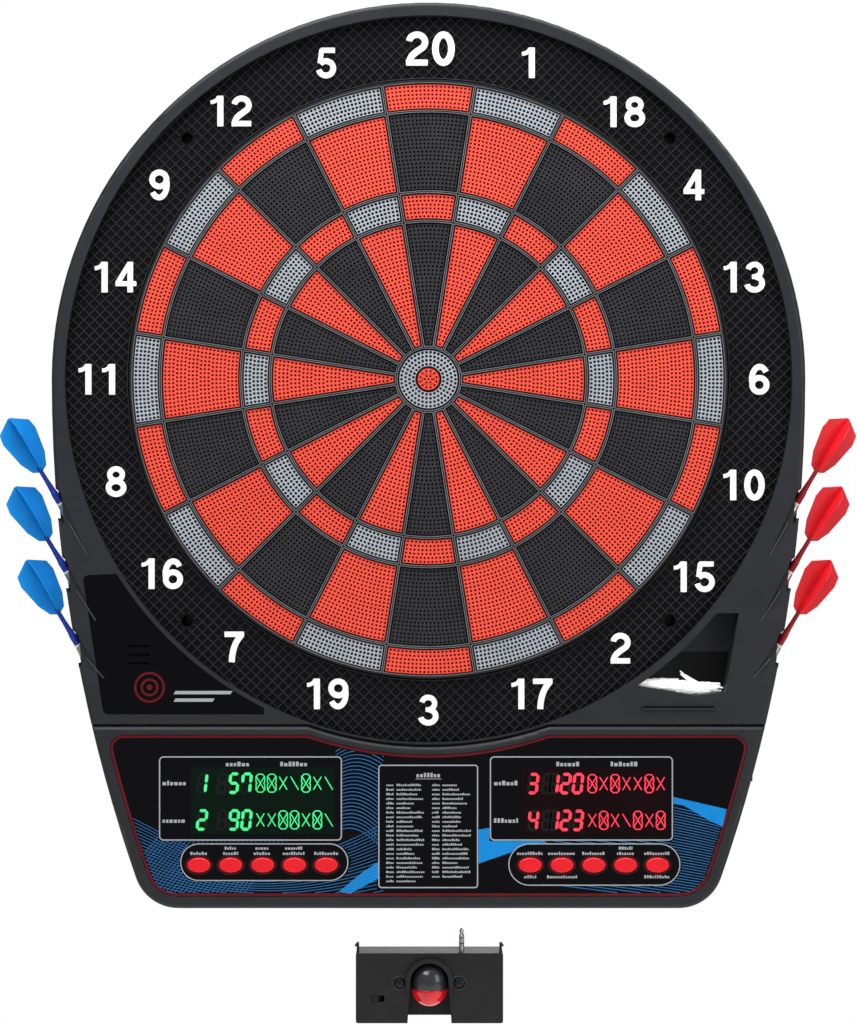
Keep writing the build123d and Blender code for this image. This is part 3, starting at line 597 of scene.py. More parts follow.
def build_catch_grid():
    """Diamond grid of low ribs on the catch ring, with a lip along its inner edge."""
    base, crest, top = 38.0, 38.9, 0.16
    shape = Shape()
    reach = CATCH_OUT
    for family in (math.pi / 4, -math.pi / 4):
        along, side = (math.cos(family), math.sin(family)), (-math.sin(family), math.cos(family))
        count = int(reach / GRID_PITCH)
        for k in range(-count, count + 1):
            offset = (k + 0.5) * GRID_PITCH
            if abs(offset) >= reach:
                continue
            end = math.sqrt(reach ** 2 - offset ** 2)
            inner = CATCH_IN + 0.6
            start = math.sqrt(inner ** 2 - offset ** 2) if abs(offset) < inner else 0.0
            spans = [(-end, -start), (start, end)] if start else [(-end, end)]
            holes = []
            for hx, hz in WALL_HOLES:
                miss = hx * side[0] + hz * side[1] - offset
                if abs(miss) < HOLE_GAP:
                    holes.append((hx * along[0] + hz * along[1], math.sqrt(HOLE_GAP ** 2 - miss ** 2)))
            for low, high in spans_clear_of(spans, holes):
                rib(shape, along, side, offset, low, high, base, crest, top)
    lip = [(-0.4, base), (0.4, base), (0.4, 39.0), (0.2, 39.3), (-0.2, 39.3), (-0.4, 39.0)]
    web_ring(shape, CATCH_IN + 0.4, lip, 320)
    mesh("catch_grid", shape, GRID, BOARD)


def rib(shape, along, side, offset, low, high, base, crest, top):
    """One straight rib with a trapezoid section."""
    half = GRID_RIB / 2
    section = [(-half, base), (half, base), (top, crest), (-top, crest)]
    points = []
    for place in (low, high):
        points += [(place * along[0] + (offset + s) * side[0], place * along[1] + (offset + s) * side[1], d)
                   for s, d in section]
    faces = [((m + 1) % 4, m, 4 + m, 4 + (m + 1) % 4) for m in range(4)]
    shape.add(points, faces + [(0, 1, 2, 3), (7, 6, 5, 4)])


# ---------------------------------------------------------------- numerals

# Each digit is a list of strokes in a box one unit tall and 0.69 wide: (path, width).

def digit_strokes(digit):
    """Strokes of one digit; a nine is a six turned over."""
    strokes = {
        "0": [(arc(0.345, 0.5, 0.235, 0.41, 90, 450, 40), 0.2)],
        "1": [([(0.425, 0.0), (0.425, 1.0)], 0.2), (arc(0.1, 1.0, 0.27, 0.21, -90, -8, 8), 0.13)],
        "2": [(arc(0.345, 0.69, 0.235, 0.22, 172, -30, 20)
               + bezier([(0.53, 0.55), (0.38, 0.42), (0.14, 0.34), (0.12, 0.1)], 10), 0.19),
              ([(0.02, 0.088), (0.66, 0.088)], 0.176)],
        "3": [(arc(0.335, 0.715, 0.21, 0.2, 168, -80, 20), 0.175),
              (arc(0.335, 0.3, 0.245, 0.215, 84, -170, 24), 0.185), ([(0.25, 0.515), (0.38, 0.515)], 0.15)],
        "4": [([(0.49, 0.0), (0.49, 1.0)], 0.185), ([(0.01, 0.285), (0.69, 0.285)], 0.16),
              ([(0.46, 0.93), (0.075, 0.3)], 0.16)],
        "5": [([(0.16, 0.915), (0.63, 0.915)], 0.17), ([(0.2, 0.95), (0.135, 0.49)], 0.16),
              (arc(0.335, 0.325, 0.24, 0.235, 142, -168, 26), 0.185)],
        "6": [(arc(0.35, 0.32, 0.235, 0.23, 90, 450, 32), 0.185),
              (arc(0.36, 0.5, 0.255, 0.41, 36, 196, 20), 0.185)],
        "7": [([(0.03, 0.912), (0.67, 0.912)], 0.176),
              (bezier([(0.58, 0.88), (0.36, 0.65), (0.28, 0.35), (0.27, 0.0)], 12), 0.2)],
        "8": [(arc(0.345, 0.725, 0.205, 0.187, 90, 450, 32), 0.175),
              (arc(0.345, 0.3, 0.245, 0.212, 90, 450, 32), 0.185)],
    }
    if digit == "9":
        return [([(0.7 - x, 1 - z) for x, z in path], width) for path, width in strokes["6"]]
    return strokes[digit]


NUMERAL_R = 221.0
NUMERAL_H = 20.5
DIGIT_W = 0.69
ADVANCE = 0.772
NUMERAL_TALLER = {20: 22.8}
NUMERAL_SHIFT = {20: (1.15, 0.0), 8: (1.4, 0.0), 10: (-0.3, -2.3), 2: (-1.6, -0.9), 12: (-2.9, 0.5),
                 1: (-0.9, 1.4), 5: (0.0, 1.2), 9: (-1.2, 0.0), 4: (-1.5, 0.0), 15: (-2.0, -2.0)}


def build_numerals():
    """White upright numbers on the catch ring."""
    for turn, number in enumerate(SECTORS):
        text = str(number)
        tall = NUMERAL_TALLER.get(number, NUMERAL_H)
        shift_x, shift_z = NUMERAL_SHIFT.get(number, (0.0, 0.0))
        total = DIGIT_W + ADVANCE * (len(text) - 1)
        left = NUMERAL_R * math.sin(SECTOR * turn) + shift_x - total * tall / 2
        foot = NUMERAL_R * math.cos(SECTOR * turn) + shift_z - tall / 2
        shape = Shape()
        for place, character in enumerate(text):
            start = left + place * ADVANCE * tall
            for order, (path, stroke) in enumerate(digit_strokes(character)):
                closed = math.dist(path[0], path[-1]) < 1e-6
                points = [(start + px * tall, foot + pz * tall) for px, pz in (path[:-1] if closed else path)]
                shape.ribbon(points, stroke * tall, 38.0, 39.9 + 0.02 * order, closed)
        mesh(f"numeral_{number}", shape, WHITE, BOARD, bevel=0.25)


# ---------------------------------------------------------------- console print

PANEL_FRONT = box_mm("console_panel")[2][1]
FILM_T = 0.06
HEAD_R, SIDE_R, PANEL_INSET = 251.6, 1012.0, 8.4
SIDE_CENTRE = HEAD_R - SIDE_R
PANEL_TOP, PANEL_FOOT = -237.4, -344.7
PANEL_ARC_R, TOP_CORNER, FOOT_CORNER = 250.6, 9.0, 21.6


def corner_x(radius, height):
    """Where a corner's centre lies, so that its arc is tangent to the panel's side."""
    return SIDE_CENTRE + math.sqrt((SIDE_R - PANEL_INSET - radius) ** 2 - height ** 2)


def panel_outline(inset):
    """Panel edge drawn in by inset, anticlockwise."""
    top_z, foot_z = PANEL_TOP - TOP_CORNER, PANEL_FOOT + FOOT_CORNER
    top_x, foot_x = corner_x(TOP_CORNER, top_z), corner_x(FOOT_CORNER, foot_z)
    top_deg = math.degrees(math.atan2(top_z, top_x - SIDE_CENTRE))
    foot_deg = math.degrees(math.atan2(foot_z, foot_x - SIDE_CENTRE))
    side_r = SIDE_R - PANEL_INSET - inset
    right = arc(foot_x, foot_z, FOOT_CORNER - inset, FOOT_CORNER - inset, -90, foot_deg, 14)
    right += arc(SIDE_CENTRE, 0, side_r, side_r, foot_deg, top_deg, 16)
    right += arc(top_x, top_z, TOP_CORNER - inset, TOP_CORNER - inset, top_deg, 90, 12)
    hollow = PANEL_ARC_R + inset
    meet = math.degrees(math.acos((PANEL_TOP - inset) / hollow)) - 90
    middle = arc(0, 0, hollow, hollow, -meet, -180 + meet, 48)
    left = [(-x, z) for x, z in reversed(right)]
    return dedupe(right + middle + left)


def dedupe(points):
    """Path without points that lie on the one before."""
    kept = []
    for point in points:
        if not kept or math.dist(point, kept[-1]) > 0.02:
            kept.append(point)
    return kept


def panel_edge(z):
    """Half-width of the panel at a height."""
    foot_z = PANEL_FOOT + FOOT_CORNER
    foot_x = corner_x(FOOT_CORNER, foot_z)
    if z < foot_z * (SIDE_R - PANEL_INSET) / (SIDE_R - PANEL_INSET - FOOT_CORNER):
        return foot_x + math.sqrt(max(0.0, FOOT_CORNER ** 2 - (z - foot_z) ** 2))
    return SIDE_CENTRE + math.sqrt((SIDE_R - PANEL_INSET) ** 2 - z ** 2)


DISPLAYS = {"left": (-179.3, -58.1), "right": (41.3, 162.6)}
DISPLAY_Z = (-307.3, -251.9)
CAPSULES = {"left": (-165.2, -53.8, -334.3, -309.9), "right": (53.6, 167.6, -337.4, -309.9)}
LIST_BOX = (-33.1, 32.7, -339.0, -257.5)


def capsule_reach(x, z, box):
    """True within a button row's round-ended frame."""
    x_low, x_high, z_low, z_high = box
    radius = (z_high - z_low) / 2
    near = min(max(x, x_low + radius), x_high - radius)
    return math.dist((x, z), (near, (z_low + z_high) / 2)) < radius + 0.4


def free_of_frames(x, z):
    """True where the panel's art may be drawn."""
    inside = abs(x) < panel_edge(z) - 2.2 and PANEL_FOOT + 2.2 < z < PANEL_TOP - 2.2
    if not inside or math.hypot(x, z) < PANEL_ARC_R + 2.2:
        return False
    for low, high in DISPLAYS.values():
        if low - 0.4 < x < high + 0.4 and DISPLAY_Z[0] - 0.4 < z < DISPLAY_Z[1] + 0.4:
            return False
    if LIST_BOX[0] - 0.4 < x < LIST_BOX[1] + 0.4 and LIST_BOX[2] - 0.4 < z < LIST_BOX[3] + 0.4:
        return False
    return not any(capsule_reach(x, z, box) for box in CAPSULES.values())


def draw_clipped(shape, path, width, low, high):
    """Draw only the stretches of a line that lie on free panel."""
    run = []
    for point in path + [None]:
        if point is not None and free_of_frames(*point):
            run.append(point)
            continue
        if len(run) > 1:
            shape.ribbon(run, width, low, high)
        run = []


def build_panel_art():
    """Blue line art on both wings of the panel."""
    top = PANEL_FRONT + FILM_T
    lines = Shape()
    for k in range(26):
        draw_clipped(lines, bezier([(-206, -289.5 - 2.3 * k), (-176, -298 - 2.2 * k), (-128, -352 - 0.5 * k),
                                    (-30, -296 - 2.5 * k)], 130), 0.42, PANEL_FRONT, top)
    for k in range(24):
        start = -246.0 - 2.35 * k
        draw_clipped(lines, bezier([(-62, start - 2.5), (-50, start + 6.0), (-40, start + 4.0 - 0.35 * k),
                                    (-30, start - 3.0 - 0.45 * k)], 40), 0.5, PANEL_FRONT, top)
    for k in range(30):
        curve = [(-214 + 3.1 * k, -344), (-196 + 3.0 * k, -324), (-172 + 2.9 * k, -296)]
        draw_clipped(lines, bezier(curve, 50), 0.4, PANEL_FRONT, top + 0.01)
    for k in range(34):
        start = -282.0 - 1.95 * k
        draw_clipped(lines, bezier([(60, start + 12), (163, start), (204, start - 14 + 0.2 * k)], 120),
                     0.5, PANEL_FRONT, top)
    mesh("panel_lines", lines, BLUE_LINE, BOARD)
    bands = Shape()
    wedge = [(33.3, -323.0), (54.8, -315.6), (60.0, -312.0), (66.0, -310.2), (78.0, -308.9), (78.0, -308.0),
             (40.6, -308.0), (40.6, -299.2), (33.3, -300.4)]
    bands.prism(wedge, PANEL_FRONT, top + 0.02)
    tail = [(163.3, -283.2), (170.0, -284.2), (186.0, -293.6), (196.0, -298.4), (198.9, -286.8),
            (163.3, -278.6)]
    bands.prism(tail, PANEL_FRONT, top + 0.02)
    corner = [(-52.0, -343.0), (-33.6, -333.0), (-33.6, -322.0), (-45.0, -329.5), (-60.0, -342.0)]
    bands.prism(corner, PANEL_FRONT, top - 0.02)
    mesh("panel_bands", bands, BLUE_BAND, BOARD)


def greek(shape, x, z, width, height, seed, low, high):
    """A word shown as a row of small blocks, with no letters."""
    rng = random.Random(seed)
    place = x - width / 2
    while place < x + width / 2 - 0.3 * height:
        block = height * rng.uniform(0.45, 0.8)
        block = min(block, x + width / 2 - place)
        tall = height * rng.choice((0.7, 0.7, 1.0))
        shape.prism([(place, z - height / 2), (place + block, z - height / 2),
                     (place + block, z - height / 2 + tall), (place, z - height / 2 + tall)], low, high)
        place += block + 0.25 * height


BUTTON_X = (-153.1, -131.9, -110.6, -89.4, -68.2, 67.8, 89.0, 110.2, 131.4, 152.6)
BUTTON_Z = -324.0
CAPTION_W = (11.5, 10.0, 12.0, 15.5, 16.0, 17.5, 18.5, 15.5, 11.5, 17.5)
CAPTION_ROWS = (1, 2, 2, 2, 1, 1, 1, 1, 2, 1)
CAPTION_BELOW = {5: 8.0, 6: 20.0, 9: 17.5}


def build_panel_print():
    """Light frames, greeked captions and the games list."""
    low, top = PANEL_FRONT, PANEL_FRONT + FILM_T + 0.03
    frames = Shape()
    for x_low, x_high in DISPLAYS.values():
        frames.ribbon(dedupe(rounded_box(x_low, x_high, *DISPLAY_Z, 2.6)), 0.8, low, top, True)
    for x_low, x_high, z_low, z_high in CAPSULES.values():
        frames.ribbon(dedupe(rounded_box(x_low, x_high, z_low, z_high, (z_high - z_low) / 2 - 0.1, 14)),
                      0.7, low, top, True)
    frames.ribbon(dedupe(rounded_box(*LIST_BOX, 1.8)), 0.8, low, top, True)
    mesh("panel_frames", frames, PRINT, BOARD)
    words = Shape()
    for seed, (x, row) in enumerate(((-169.3, -269.3), (-169.3, -294.3), (51.7, -269.3), (51.7, -294.3))):
        greek(words, x, row, 16.0, 3.0, seed, low, top)
    for seed, (x, width) in enumerate(((-127.4, 15.5), (-89.6, 18.5), (93.0, 15.5), (130.7, 18.5))):
        greek(words, x, -256.6, width, 3.0, 10 + seed, low, top)
    for index, x in enumerate(BUTTON_X):
        for row in range(CAPTION_ROWS[index]):
            width, seed = CAPTION_W[index] * (1 - 0.2 * row), 20 + index + 40 * row
            greek(words, x, -316.2 + 3.5 * row, width, 2.0, seed, low, top)
        if index in CAPTION_BELOW:
            greek(words, x, -331.8, CAPTION_BELOW[index], 2.0, 120 + index, low, top)
    greek(words, 0.0, -264.0, 16.0, 3.0, 7, low, top)
    words.ribbon([(-8.6, -266.6), (8.6, -266.6)], 0.35, low, top)
    rng = random.Random(5)
    for column, rows in ((-28.3, 22), (2.3, 21)):
        for row in range(rows):
            z = -270.6 - 3.05 * row
            greek(words, column + 2.6, z, 5.0, 1.5, rng.random(), low, top)
            width = rng.uniform(9.0, 19.0)
            greek(words, column + 7.0 + width / 2, z, width, 1.5, rng.random(), low, top)
    mesh("panel_words", words, PRINT, BOARD)
    trim = Shape()
    trim.ribbon(panel_outline(0.95), 1.7, low, top, True)
    mesh("panel_trim", trim, TRIM, BOARD)
    halo = Shape()
    for x in BUTTON_X:
        halo.ribbon(arc(x, BUTTON_Z, 8.75, 6.0, 0, 360, 40)[:-1], 1.1, low, top, True)
    mesh("button_halos", halo, HALO, BOARD)


# ---------------------------------------------------------------- displays

SEVEN = {"0": "abcdef", "1": "bc", "2": "abged", "3": "abgcd", "4": "fgbc", "5": "afgcd", "7": "abcf",
         "9": "abcdfg"}
SLANT = 0.1


def segment_bar(shape, start, end, width, low, high):
    """Pointed bar of a seven-segment digit."""
    along = Vector((end[0] - start[0], end[1] - start[1]))
    length = along.length
    along.normalize()
    side = Vector((-along.y, along.x)) * width / 2
    tip = along * width / 2
    a, b = Vector(start) + tip * 0.15, Vector(end) - tip * 0.15
    outline = [a, a + tip - side, b - tip - side, b, b - tip + side, a + tip + side]
    if length > width:
        shape.prism([tuple(point) for point in outline], low, high)


def seven_segment(lit, ghost, character, x, z, wide, tall, low, high):
    """A slanted digit with its lower left corner at x, z; unlit bars go to the ghost shape."""
    width = 2.05
    inset = width / 2

    def spot(u, v):
        return (x + inset + u * (wide - width) + SLANT * v * tall, z + inset + v * (tall - width))

    bars = {"a": ((0, 1), (1, 1)), "b": ((1, 1), (1, 0.5)), "c": ((1, 0.5), (1, 0)), "d": ((1, 0), (0, 0)),
            "e": ((0, 0), (0, 0.5)), "f": ((0, 0.5), (0, 1)), "g": ((0, 0.5), (1, 0.5))}
    on = SEVEN.get(character, "")
    for name, (start, end) in bars.items():
        if name in on:
            segment_bar(lit, spot(*start), spot(*end), width, low, high)
        else:
            segment_bar(ghost, spot(*start), spot(*end), width, low, low + 0.02)


def score_mark(shape, kind, x, z, low, high):
    """Cricket mark: a slash, a cross, or a cross in a long ring."""
    width, half = 0.72, (2.6, 4.3)
    shape.ribbon([(x - half[0], z + half[1]), (x + half[0], z - half[1])], width, low, high)
    if kind in "xo":
        shape.ribbon([(x - half[0], z - half[1]), (x + half[0], z + half[1])], width, low, high + 0.005)
    if kind == "o":
        loop = [(-1.3, 6.0), (-2.9, 4.4), (-2.9, 0.8), (-2.2, 0.0), (-2.9, -0.8), (-2.9, -4.4), (-1.3, -6.0),
                (1.3, -6.0), (2.9, -4.4), (2.9, -0.8), (2.2, 0.0), (2.9, 0.8), (2.9, 4.4), (1.3, 6.0)]
        shape.ribbon([(x + u, z + v) for u, v in loop], width, low, high + 0.01, True)


DISPLAY_ROWS = {
    "left": ((-276.6, (("1", -155.4), (" ", -142.0), ("5", -134.2), ("7", -125.8)), "oox/ox/"),
             (-301.1, (("2", -155.4), (" ", -142.0), ("9", -134.2), ("0", -125.8)), "xxooxo/")),
    "right": ((-276.9, (("3", 65.4), (" ", 74.5), ("1", 79.0), ("2", 87.0), ("0", 95.2)), "oxoxxox"),
              (-301.4, (("4", 65.4), (" ", 74.5), ("1", 79.0), ("2", 87.0), ("3", 95.2)), "xox/oxo")),
}
LED_WINDOWS = {"left": (-158.6, -62.6), "right": (61.6, 159.2)}
MARKS = {"left": -112.1, "right": 109.2}
MARK_PITCH = 7.6


def build_displays():
    """Tinted windows with lit and unlit digits and the cricket marks."""
    for side, window, led in (("left", WINDOW_GREEN, LED_GREEN), ("right", WINDOW_RED, LED_RED)):
        x_low, x_high = LED_WINDOWS[side]
        low = PANEL_FRONT + 0.03
        face = Shape()
        face.prism(rounded_box(x_low, x_high, -303.4, -259.0, 0.8, 3), PANEL_FRONT, low)
        mesh(f"window_{side}", face, window, BOARD)
        lit, ghost = Shape(), Shape()
        for base, digits, marks in DISPLAY_ROWS[side]:
            for character, x in digits:
                seven_segment(lit, ghost, character, x, base, 7.4, 14.4, low, low + 0.05)
            for n, kind in enumerate(marks):
                score_mark(lit, kind, MARKS[side] + MARK_PITCH * n, base + 7.2, low, low + 0.05)
        mesh(f"digits_{side}", lit, led, BOARD)
        mesh(f"digits_off_{side}", ghost, LED_OFF, BOARD)


# ---------------------------------------------------------------- badge panel emblem

def build_emblem():
    """Plain roundel and bars on the badge panel."""
    front = box_mm("badge_panel")[2][1]
    red, white = Shape(), Shape()
    cx, cz = -186.0, -205.5
    for radius in (9.5, 5.2):
        red.ribbon(arc(cx, cz, radius, radius, 0, 360, 48)[:-1], 1.5, front, front + 0.08, True)
    red.prism(arc(cx, cz, 1.9, 1.9, 0, 360, 24)[:-1], front, front + 0.08)
    for k, width in enumerate((38.0, 26.0)):
        z = -209.0 - 5.0 * k
        bar = [(-170.0, z - 1.1), (-170.0 + width, z - 1.1), (-168.6 + width, z + 1.1), (-168.6, z + 1.1)]
        white.prism(bar, front, front + 0.08)
    mesh("badge_roundel", red, TRIM, BOARD)
    mesh("badge_bars", white, PRINT, BOARD)


# ---------------------------------------------------------------- darts

LEAN = math.radians(31.5)
DART_JOINTS = ((247.1, -82.5), (242.7, -128.3), (235.2, -177.5))
DART_DEPTH = 31.0
FLIGHT_START = 24.3
FLIGHT_HALF = ((0.0, 1.0), (2.5, 5.4), (11.0, 9.3), (28.0, 12.5), (35.0, 11.3), (42.0, 0.9))
WING_T = 0.45
TWIST_DEG = 14.0


def dart_matrix(joint, side):
    """Local frame of a dart in mm: Z up its axis, X towards the player."""
    up = Vector((side * math.sin(LEAN), 0, math.cos(LEAN)))
    out = Vector((0, -1, 0))
    across = up.cross(out)
    turn = Matrix((out, across, up)).transposed().to_4x4()
    return Matrix.Translation((side * joint[0], -DART_DEPTH, joint[1])) @ turn


def barrel_profile():
    """Turned barrel with gripping rings, from the tip end up to the shaft."""
    profile = [(0.0, -40.0), (1.9, -40.0), (2.5, -38.6), (3.0, -35.0)]
    for k in range(9):
        z = -33.6 + 2.5 * k
        profile += [(3.2, z), (3.2, z + 1.5), (2.85, z + 1.8), (2.85, z + 2.2)]
    return profile + [(3.2, -10.6), (3.2, -8.6), (2.9, -5.0), (2.55, -1.4)]


def wing(shape, matrix, degrees):
    """One wing of a flight, from the axis outwards."""
    turn = matrix @ Matrix.Rotation(math.radians(degrees), 4, "Z")
    outline = [(0.0, FLIGHT_START)] + [(half, FLIGHT_START + along) for along, half in FLIGHT_HALF]
    outline += [(0.0, FLIGHT_START + FLIGHT_HALF[-1][0])]
    points = []
    for thick in (-WING_T / 2, WING_T / 2):
        for out, along in outline:
            point = turn @ Vector((out, thick, along))
            points.append((point.x, point.z, -point.y))
    count = len(outline)
    faces = [tuple(range(count)), tuple(range(2 * count - 1, count - 1, -1))]
    faces += [((m + 1) % count, m, count + m, count + (m + 1) % count) for m in range(count)]
    shape.add(points, faces)


def build_darts():
    """Three blue and three red darts, each a barrel, shaft, ring, tip and four-winged flight."""
    sides = (("blue", -1, FLIGHT_BLUE, NYLON_BLUE), ("red", 1, FLIGHT_RED, NYLON_RED))
    shaft = [(0.0, 0.05), (2.2, 0.05), (2.45, 0.5), (2.45, 7.0), (2.0, 9.5), (1.55, 18.0),
             (1.5, FLIGHT_START + 1.0), (1.2, FLIGHT_START + 3.5), (0.0, FLIGHT_START + 3.8)]
    ring = [(0.0, -1.4), (2.65, -1.4), (2.75, -1.1), (2.75, -0.1), (2.5, 0.0), (0.0, 0.0)]
    tip = [(0.0, -55.0), (0.45, -54.8), (0.7, -53.5), (1.3, -46.0), (2.1, -41.5), (2.1, -40.1), (0.0, -40.1)]
    for colour, side, film, nylon in sides:
        for index, joint in enumerate(DART_JOINTS):
            node = f"dart_{colour}_{index + 1}"
            matrix = dart_matrix(joint, side)
            parts = (("barrel", barrel_profile() + [(0.0, -1.4)], STEEL, "barrel_steel"),
                     ("shaft", shaft, nylon, f"dart_{colour}"),
                     ("ring", ring, TIP, "tip_white"), ("tip", tip, TIP, "tip_white"))
            for part, profile, material, slot in parts:
                shape = Shape()
                shape.add(*revolve(profile, matrix, 28))
                item = mesh(f"{node}_{part}", shape, material, node)
                if part == "barrel":
                    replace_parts(item, node)
            flight = Shape()
            for quarter in range(4):
                wing(flight, matrix, TWIST_DEG + 90 * quarter)
            mesh(f"{node}_flight", flight, film, node)


# ---------------------------------------------------------------- laser head, wall screws, spare tips

DOME = {"x": 0.65, "z": -403.9, "depth": 24.0, "radius": 12.4}
LENS_TOP, LENS_FOOT = -409.3, -421.3


def build_laser_head():
    """Polished round hood over a bowl-shaped red lens."""
    turn = Matrix.Translation((DOME["x"], -DOME["depth"], DOME["z"]))
    drop, reach = DOME["z"] - LENS_TOP, DOME["z"] - LENS_FOOT
    radius = DOME["radius"]
    hood = [(0.0, -drop), (radius - 0.1, -drop), (radius, 0.4 - drop), (radius, -0.5)]
    hood += [(radius * math.cos(math.radians(a)), radius * math.sin(math.radians(a)))
             for a in range(0, 90, 6)]
    hood.append((0.0, radius))
    lens = [((radius - 0.4) * math.sin(math.radians(a)), -drop - (reach - drop) * math.cos(math.radians(a)))
            for a in range(0, 90, 6)]
    lens += [(radius - 0.4, -drop - 0.05), (0.0, -drop - 0.05)]
    pieces = []
    for name, profile, material, slot in (("hood", hood, HOOD, "laser_gloss"),
                                          ("lens", lens, LENS, "laser_lens_red")):
        shape = Shape()
        shape.add(*revolve(profile, turn, 48))
        pieces.append(mesh(f"laser_{name}", shape, material, "laser_dome", weld=0.001, smooth=True))
    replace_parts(pieces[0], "laser_dome")


CASE_FRONT = 32.0
CASE_SCREWS = ((-19.1, -404.6), (20.4, -404.6))


def towards_player(x, z, depth):
    """Local frame in mm at a depth, with Z up its axis, off the wall."""
    return Matrix.Translation((x, -depth, z)) @ Matrix.Rotation(math.pi / 2, 4, "X")


def cross_mark(shape, x, z, degrees, reach, width, low, high):
    """Two short bars crossing at right angles."""
    for a in (math.radians(degrees), math.radians(degrees + 90)):
        ends = [(x + u * reach * math.cos(a), z + u * reach * math.sin(a)) for u in (-1, 1)]
        shape.ribbon(ends, width, low, high)


def build_case_screws():
    """Domed cross-head screws in bevelled collars on the laser module."""
    heads, marks, collars = Shape(), Shape(), Shape()
    head = [(0.0, 0.0), (3.2, 0.0), (3.2, 0.3), (2.5, 0.6), (1.2, 0.72), (0.0, 0.75)]
    for x, z in CASE_SCREWS:
        turn = towards_player(x, z, CASE_FRONT - 0.9)
        heads.add(*revolve(head, turn, 28))
        # Painted shade: dark ribbon crosses stand in for the shadow in each screw's cross recess.
        cross_mark(marks, x, z, 35, 1.9, 0.7, CASE_FRONT - 0.5, CASE_FRONT - 0.05)
        collar = Shape()
        web_ring(collar, 4.6, [(-0.55, -0.2), (0.55, -0.2), (0.5, 0.05), (-0.1, 0.4), (-0.5, 0.2)], 40)
        collars.add([(u + x, v + z, CASE_FRONT + d) for u, v, d in collar.points], collar.faces)
    mesh("case_screws", heads, SCREW, "laser_module", weld=0.001)
    mesh("case_screw_recess_shade", marks, SHADE_AND_RING_BLACK, "laser_module")
    mesh("case_collars", collars, HOUSING, "laser_module")


PLUG_X, PLUG_DEPTH, PLUG_TOP, PLUG_R = 22.3, 26.0, -368.6, 1.75


def build_plug():
    """Jack plug with a necked nose and two black rings."""
    turn = Matrix.Translation((PLUG_X, -PLUG_DEPTH, PLUG_TOP))
    metal, rings = Shape(), Shape()
    profile = [(0.0, -17.5), (PLUG_R, -17.5), (PLUG_R, -10.35), (1.5, -10.3), (1.5, -9.8), (PLUG_R, -9.75),
               (PLUG_R, -6.75), (1.5, -6.7), (1.5, -6.2), (PLUG_R, -6.15), (PLUG_R, -4.8), (1.1, -3.6),
               (1.1, -3.1), (1.6, -2.2), (1.1, -0.6), (0.3, 0.0), (0.0, 0.0)]
    metal.add(*revolve(profile, turn, 28))
    for low in (-10.32, -6.72):
        rings.add(*revolve([(0.0, low), (PLUG_R, low), (PLUG_R, low + 0.55), (0.0, low + 0.55)], turn, 28))
    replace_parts(mesh("plug", metal, STEEL, "laser_module", weld=0.001), "laser_jack_plug")
    mesh("plug_rings", rings, SHADE_AND_RING_BLACK, "laser_module", weld=0.001)


HOUSING_FRONT = 44.0
RIDGES = (((227.2, -118.1), (247.1, -82.5)), ((221.3, -161.9), (242.7, -128.3)),
          ((216.1, -199.8), (235.2, -177.5)))


def build_worn_edges():
    """Painted highlights: light strips along the cheek ridges and along the top of the bar under the tip
    pocket, standing in for light caught by those edges.
    """
    shape = Shape()
    for start, end in RIDGES:
        for side in (-1, 1):
            path = [(side * (start[0] + t * (end[0] - start[0])), start[1] + t * (end[1] - start[1]))
                    for t in (0.02, 0.3, 0.62)]
            shape.ribbon(path, 0.7, HOUSING_FRONT - 0.2, HOUSING_FRONT + 0.05)
    shape.ribbon([(143.0, -218.5), (190.3, -218.5)], 1.1, HOUSING_FRONT + 0.8, HOUSING_FRONT + 1.2)
    mesh("edge_highlights", shape, EDGE_HIGHLIGHT, BOARD)


def wall_screw_profile():
    """Half section of a wall screw about its axis: shank, cone and a dished head."""
    shank, length, radius = 2.3, 23.4, 3.4
    dish = length + 2.5 - 1.2
    return [(0.0, 0.0), (shank, 0.0), (shank, length), (radius, length + 1.2), (radius, length + 1.9),
            (radius - 0.5, length + 2.4), (radius * 0.35, length + 2.5), (radius * 0.25, dish), (0.0, dish)]


def build_wall_screws():
    """Dark cross-head screws deep in the four wall holes."""
    shape = Shape()
    for x, z in WALL_HOLES:
        shape.add(*revolve(wall_screw_profile(), towards_player(x, z, 0), 24))
        cross_mark(shape, x, z, 20, 2.2, 0.6, 25.4, 26.1)
    mesh("wall_screws", shape, SCREW, BOARD, weld=0.001)


def soft_tip():
    """Profile of a white soft tip lying along its axis, thread end first."""
    return [(0.0, 0.0), (1.2, 0.0), (1.2, 4.4), (1.6, 4.6), (1.6, 6.0), (1.3, 6.8), (0.9, 11.0), (0.55, 17.0),
            (0.0, 17.4)]


def add_tip(shape, place, along):
    """Put a soft tip at a place, pointing along a direction."""
    turn = Matrix.Translation(place) @ along.to_track_quat("Z", "X").to_matrix().to_4x4()
    shape.add(*revolve(soft_tip(), turn, 12))


def heap_foot(x):
    """Lower edge of the pocket at a place along it."""
    return -204.0 - 6.9 * (x - 137.0) / 40.6 if x < 177.6 else -210.9 + 2.4 * (x - 177.6) / 20.4


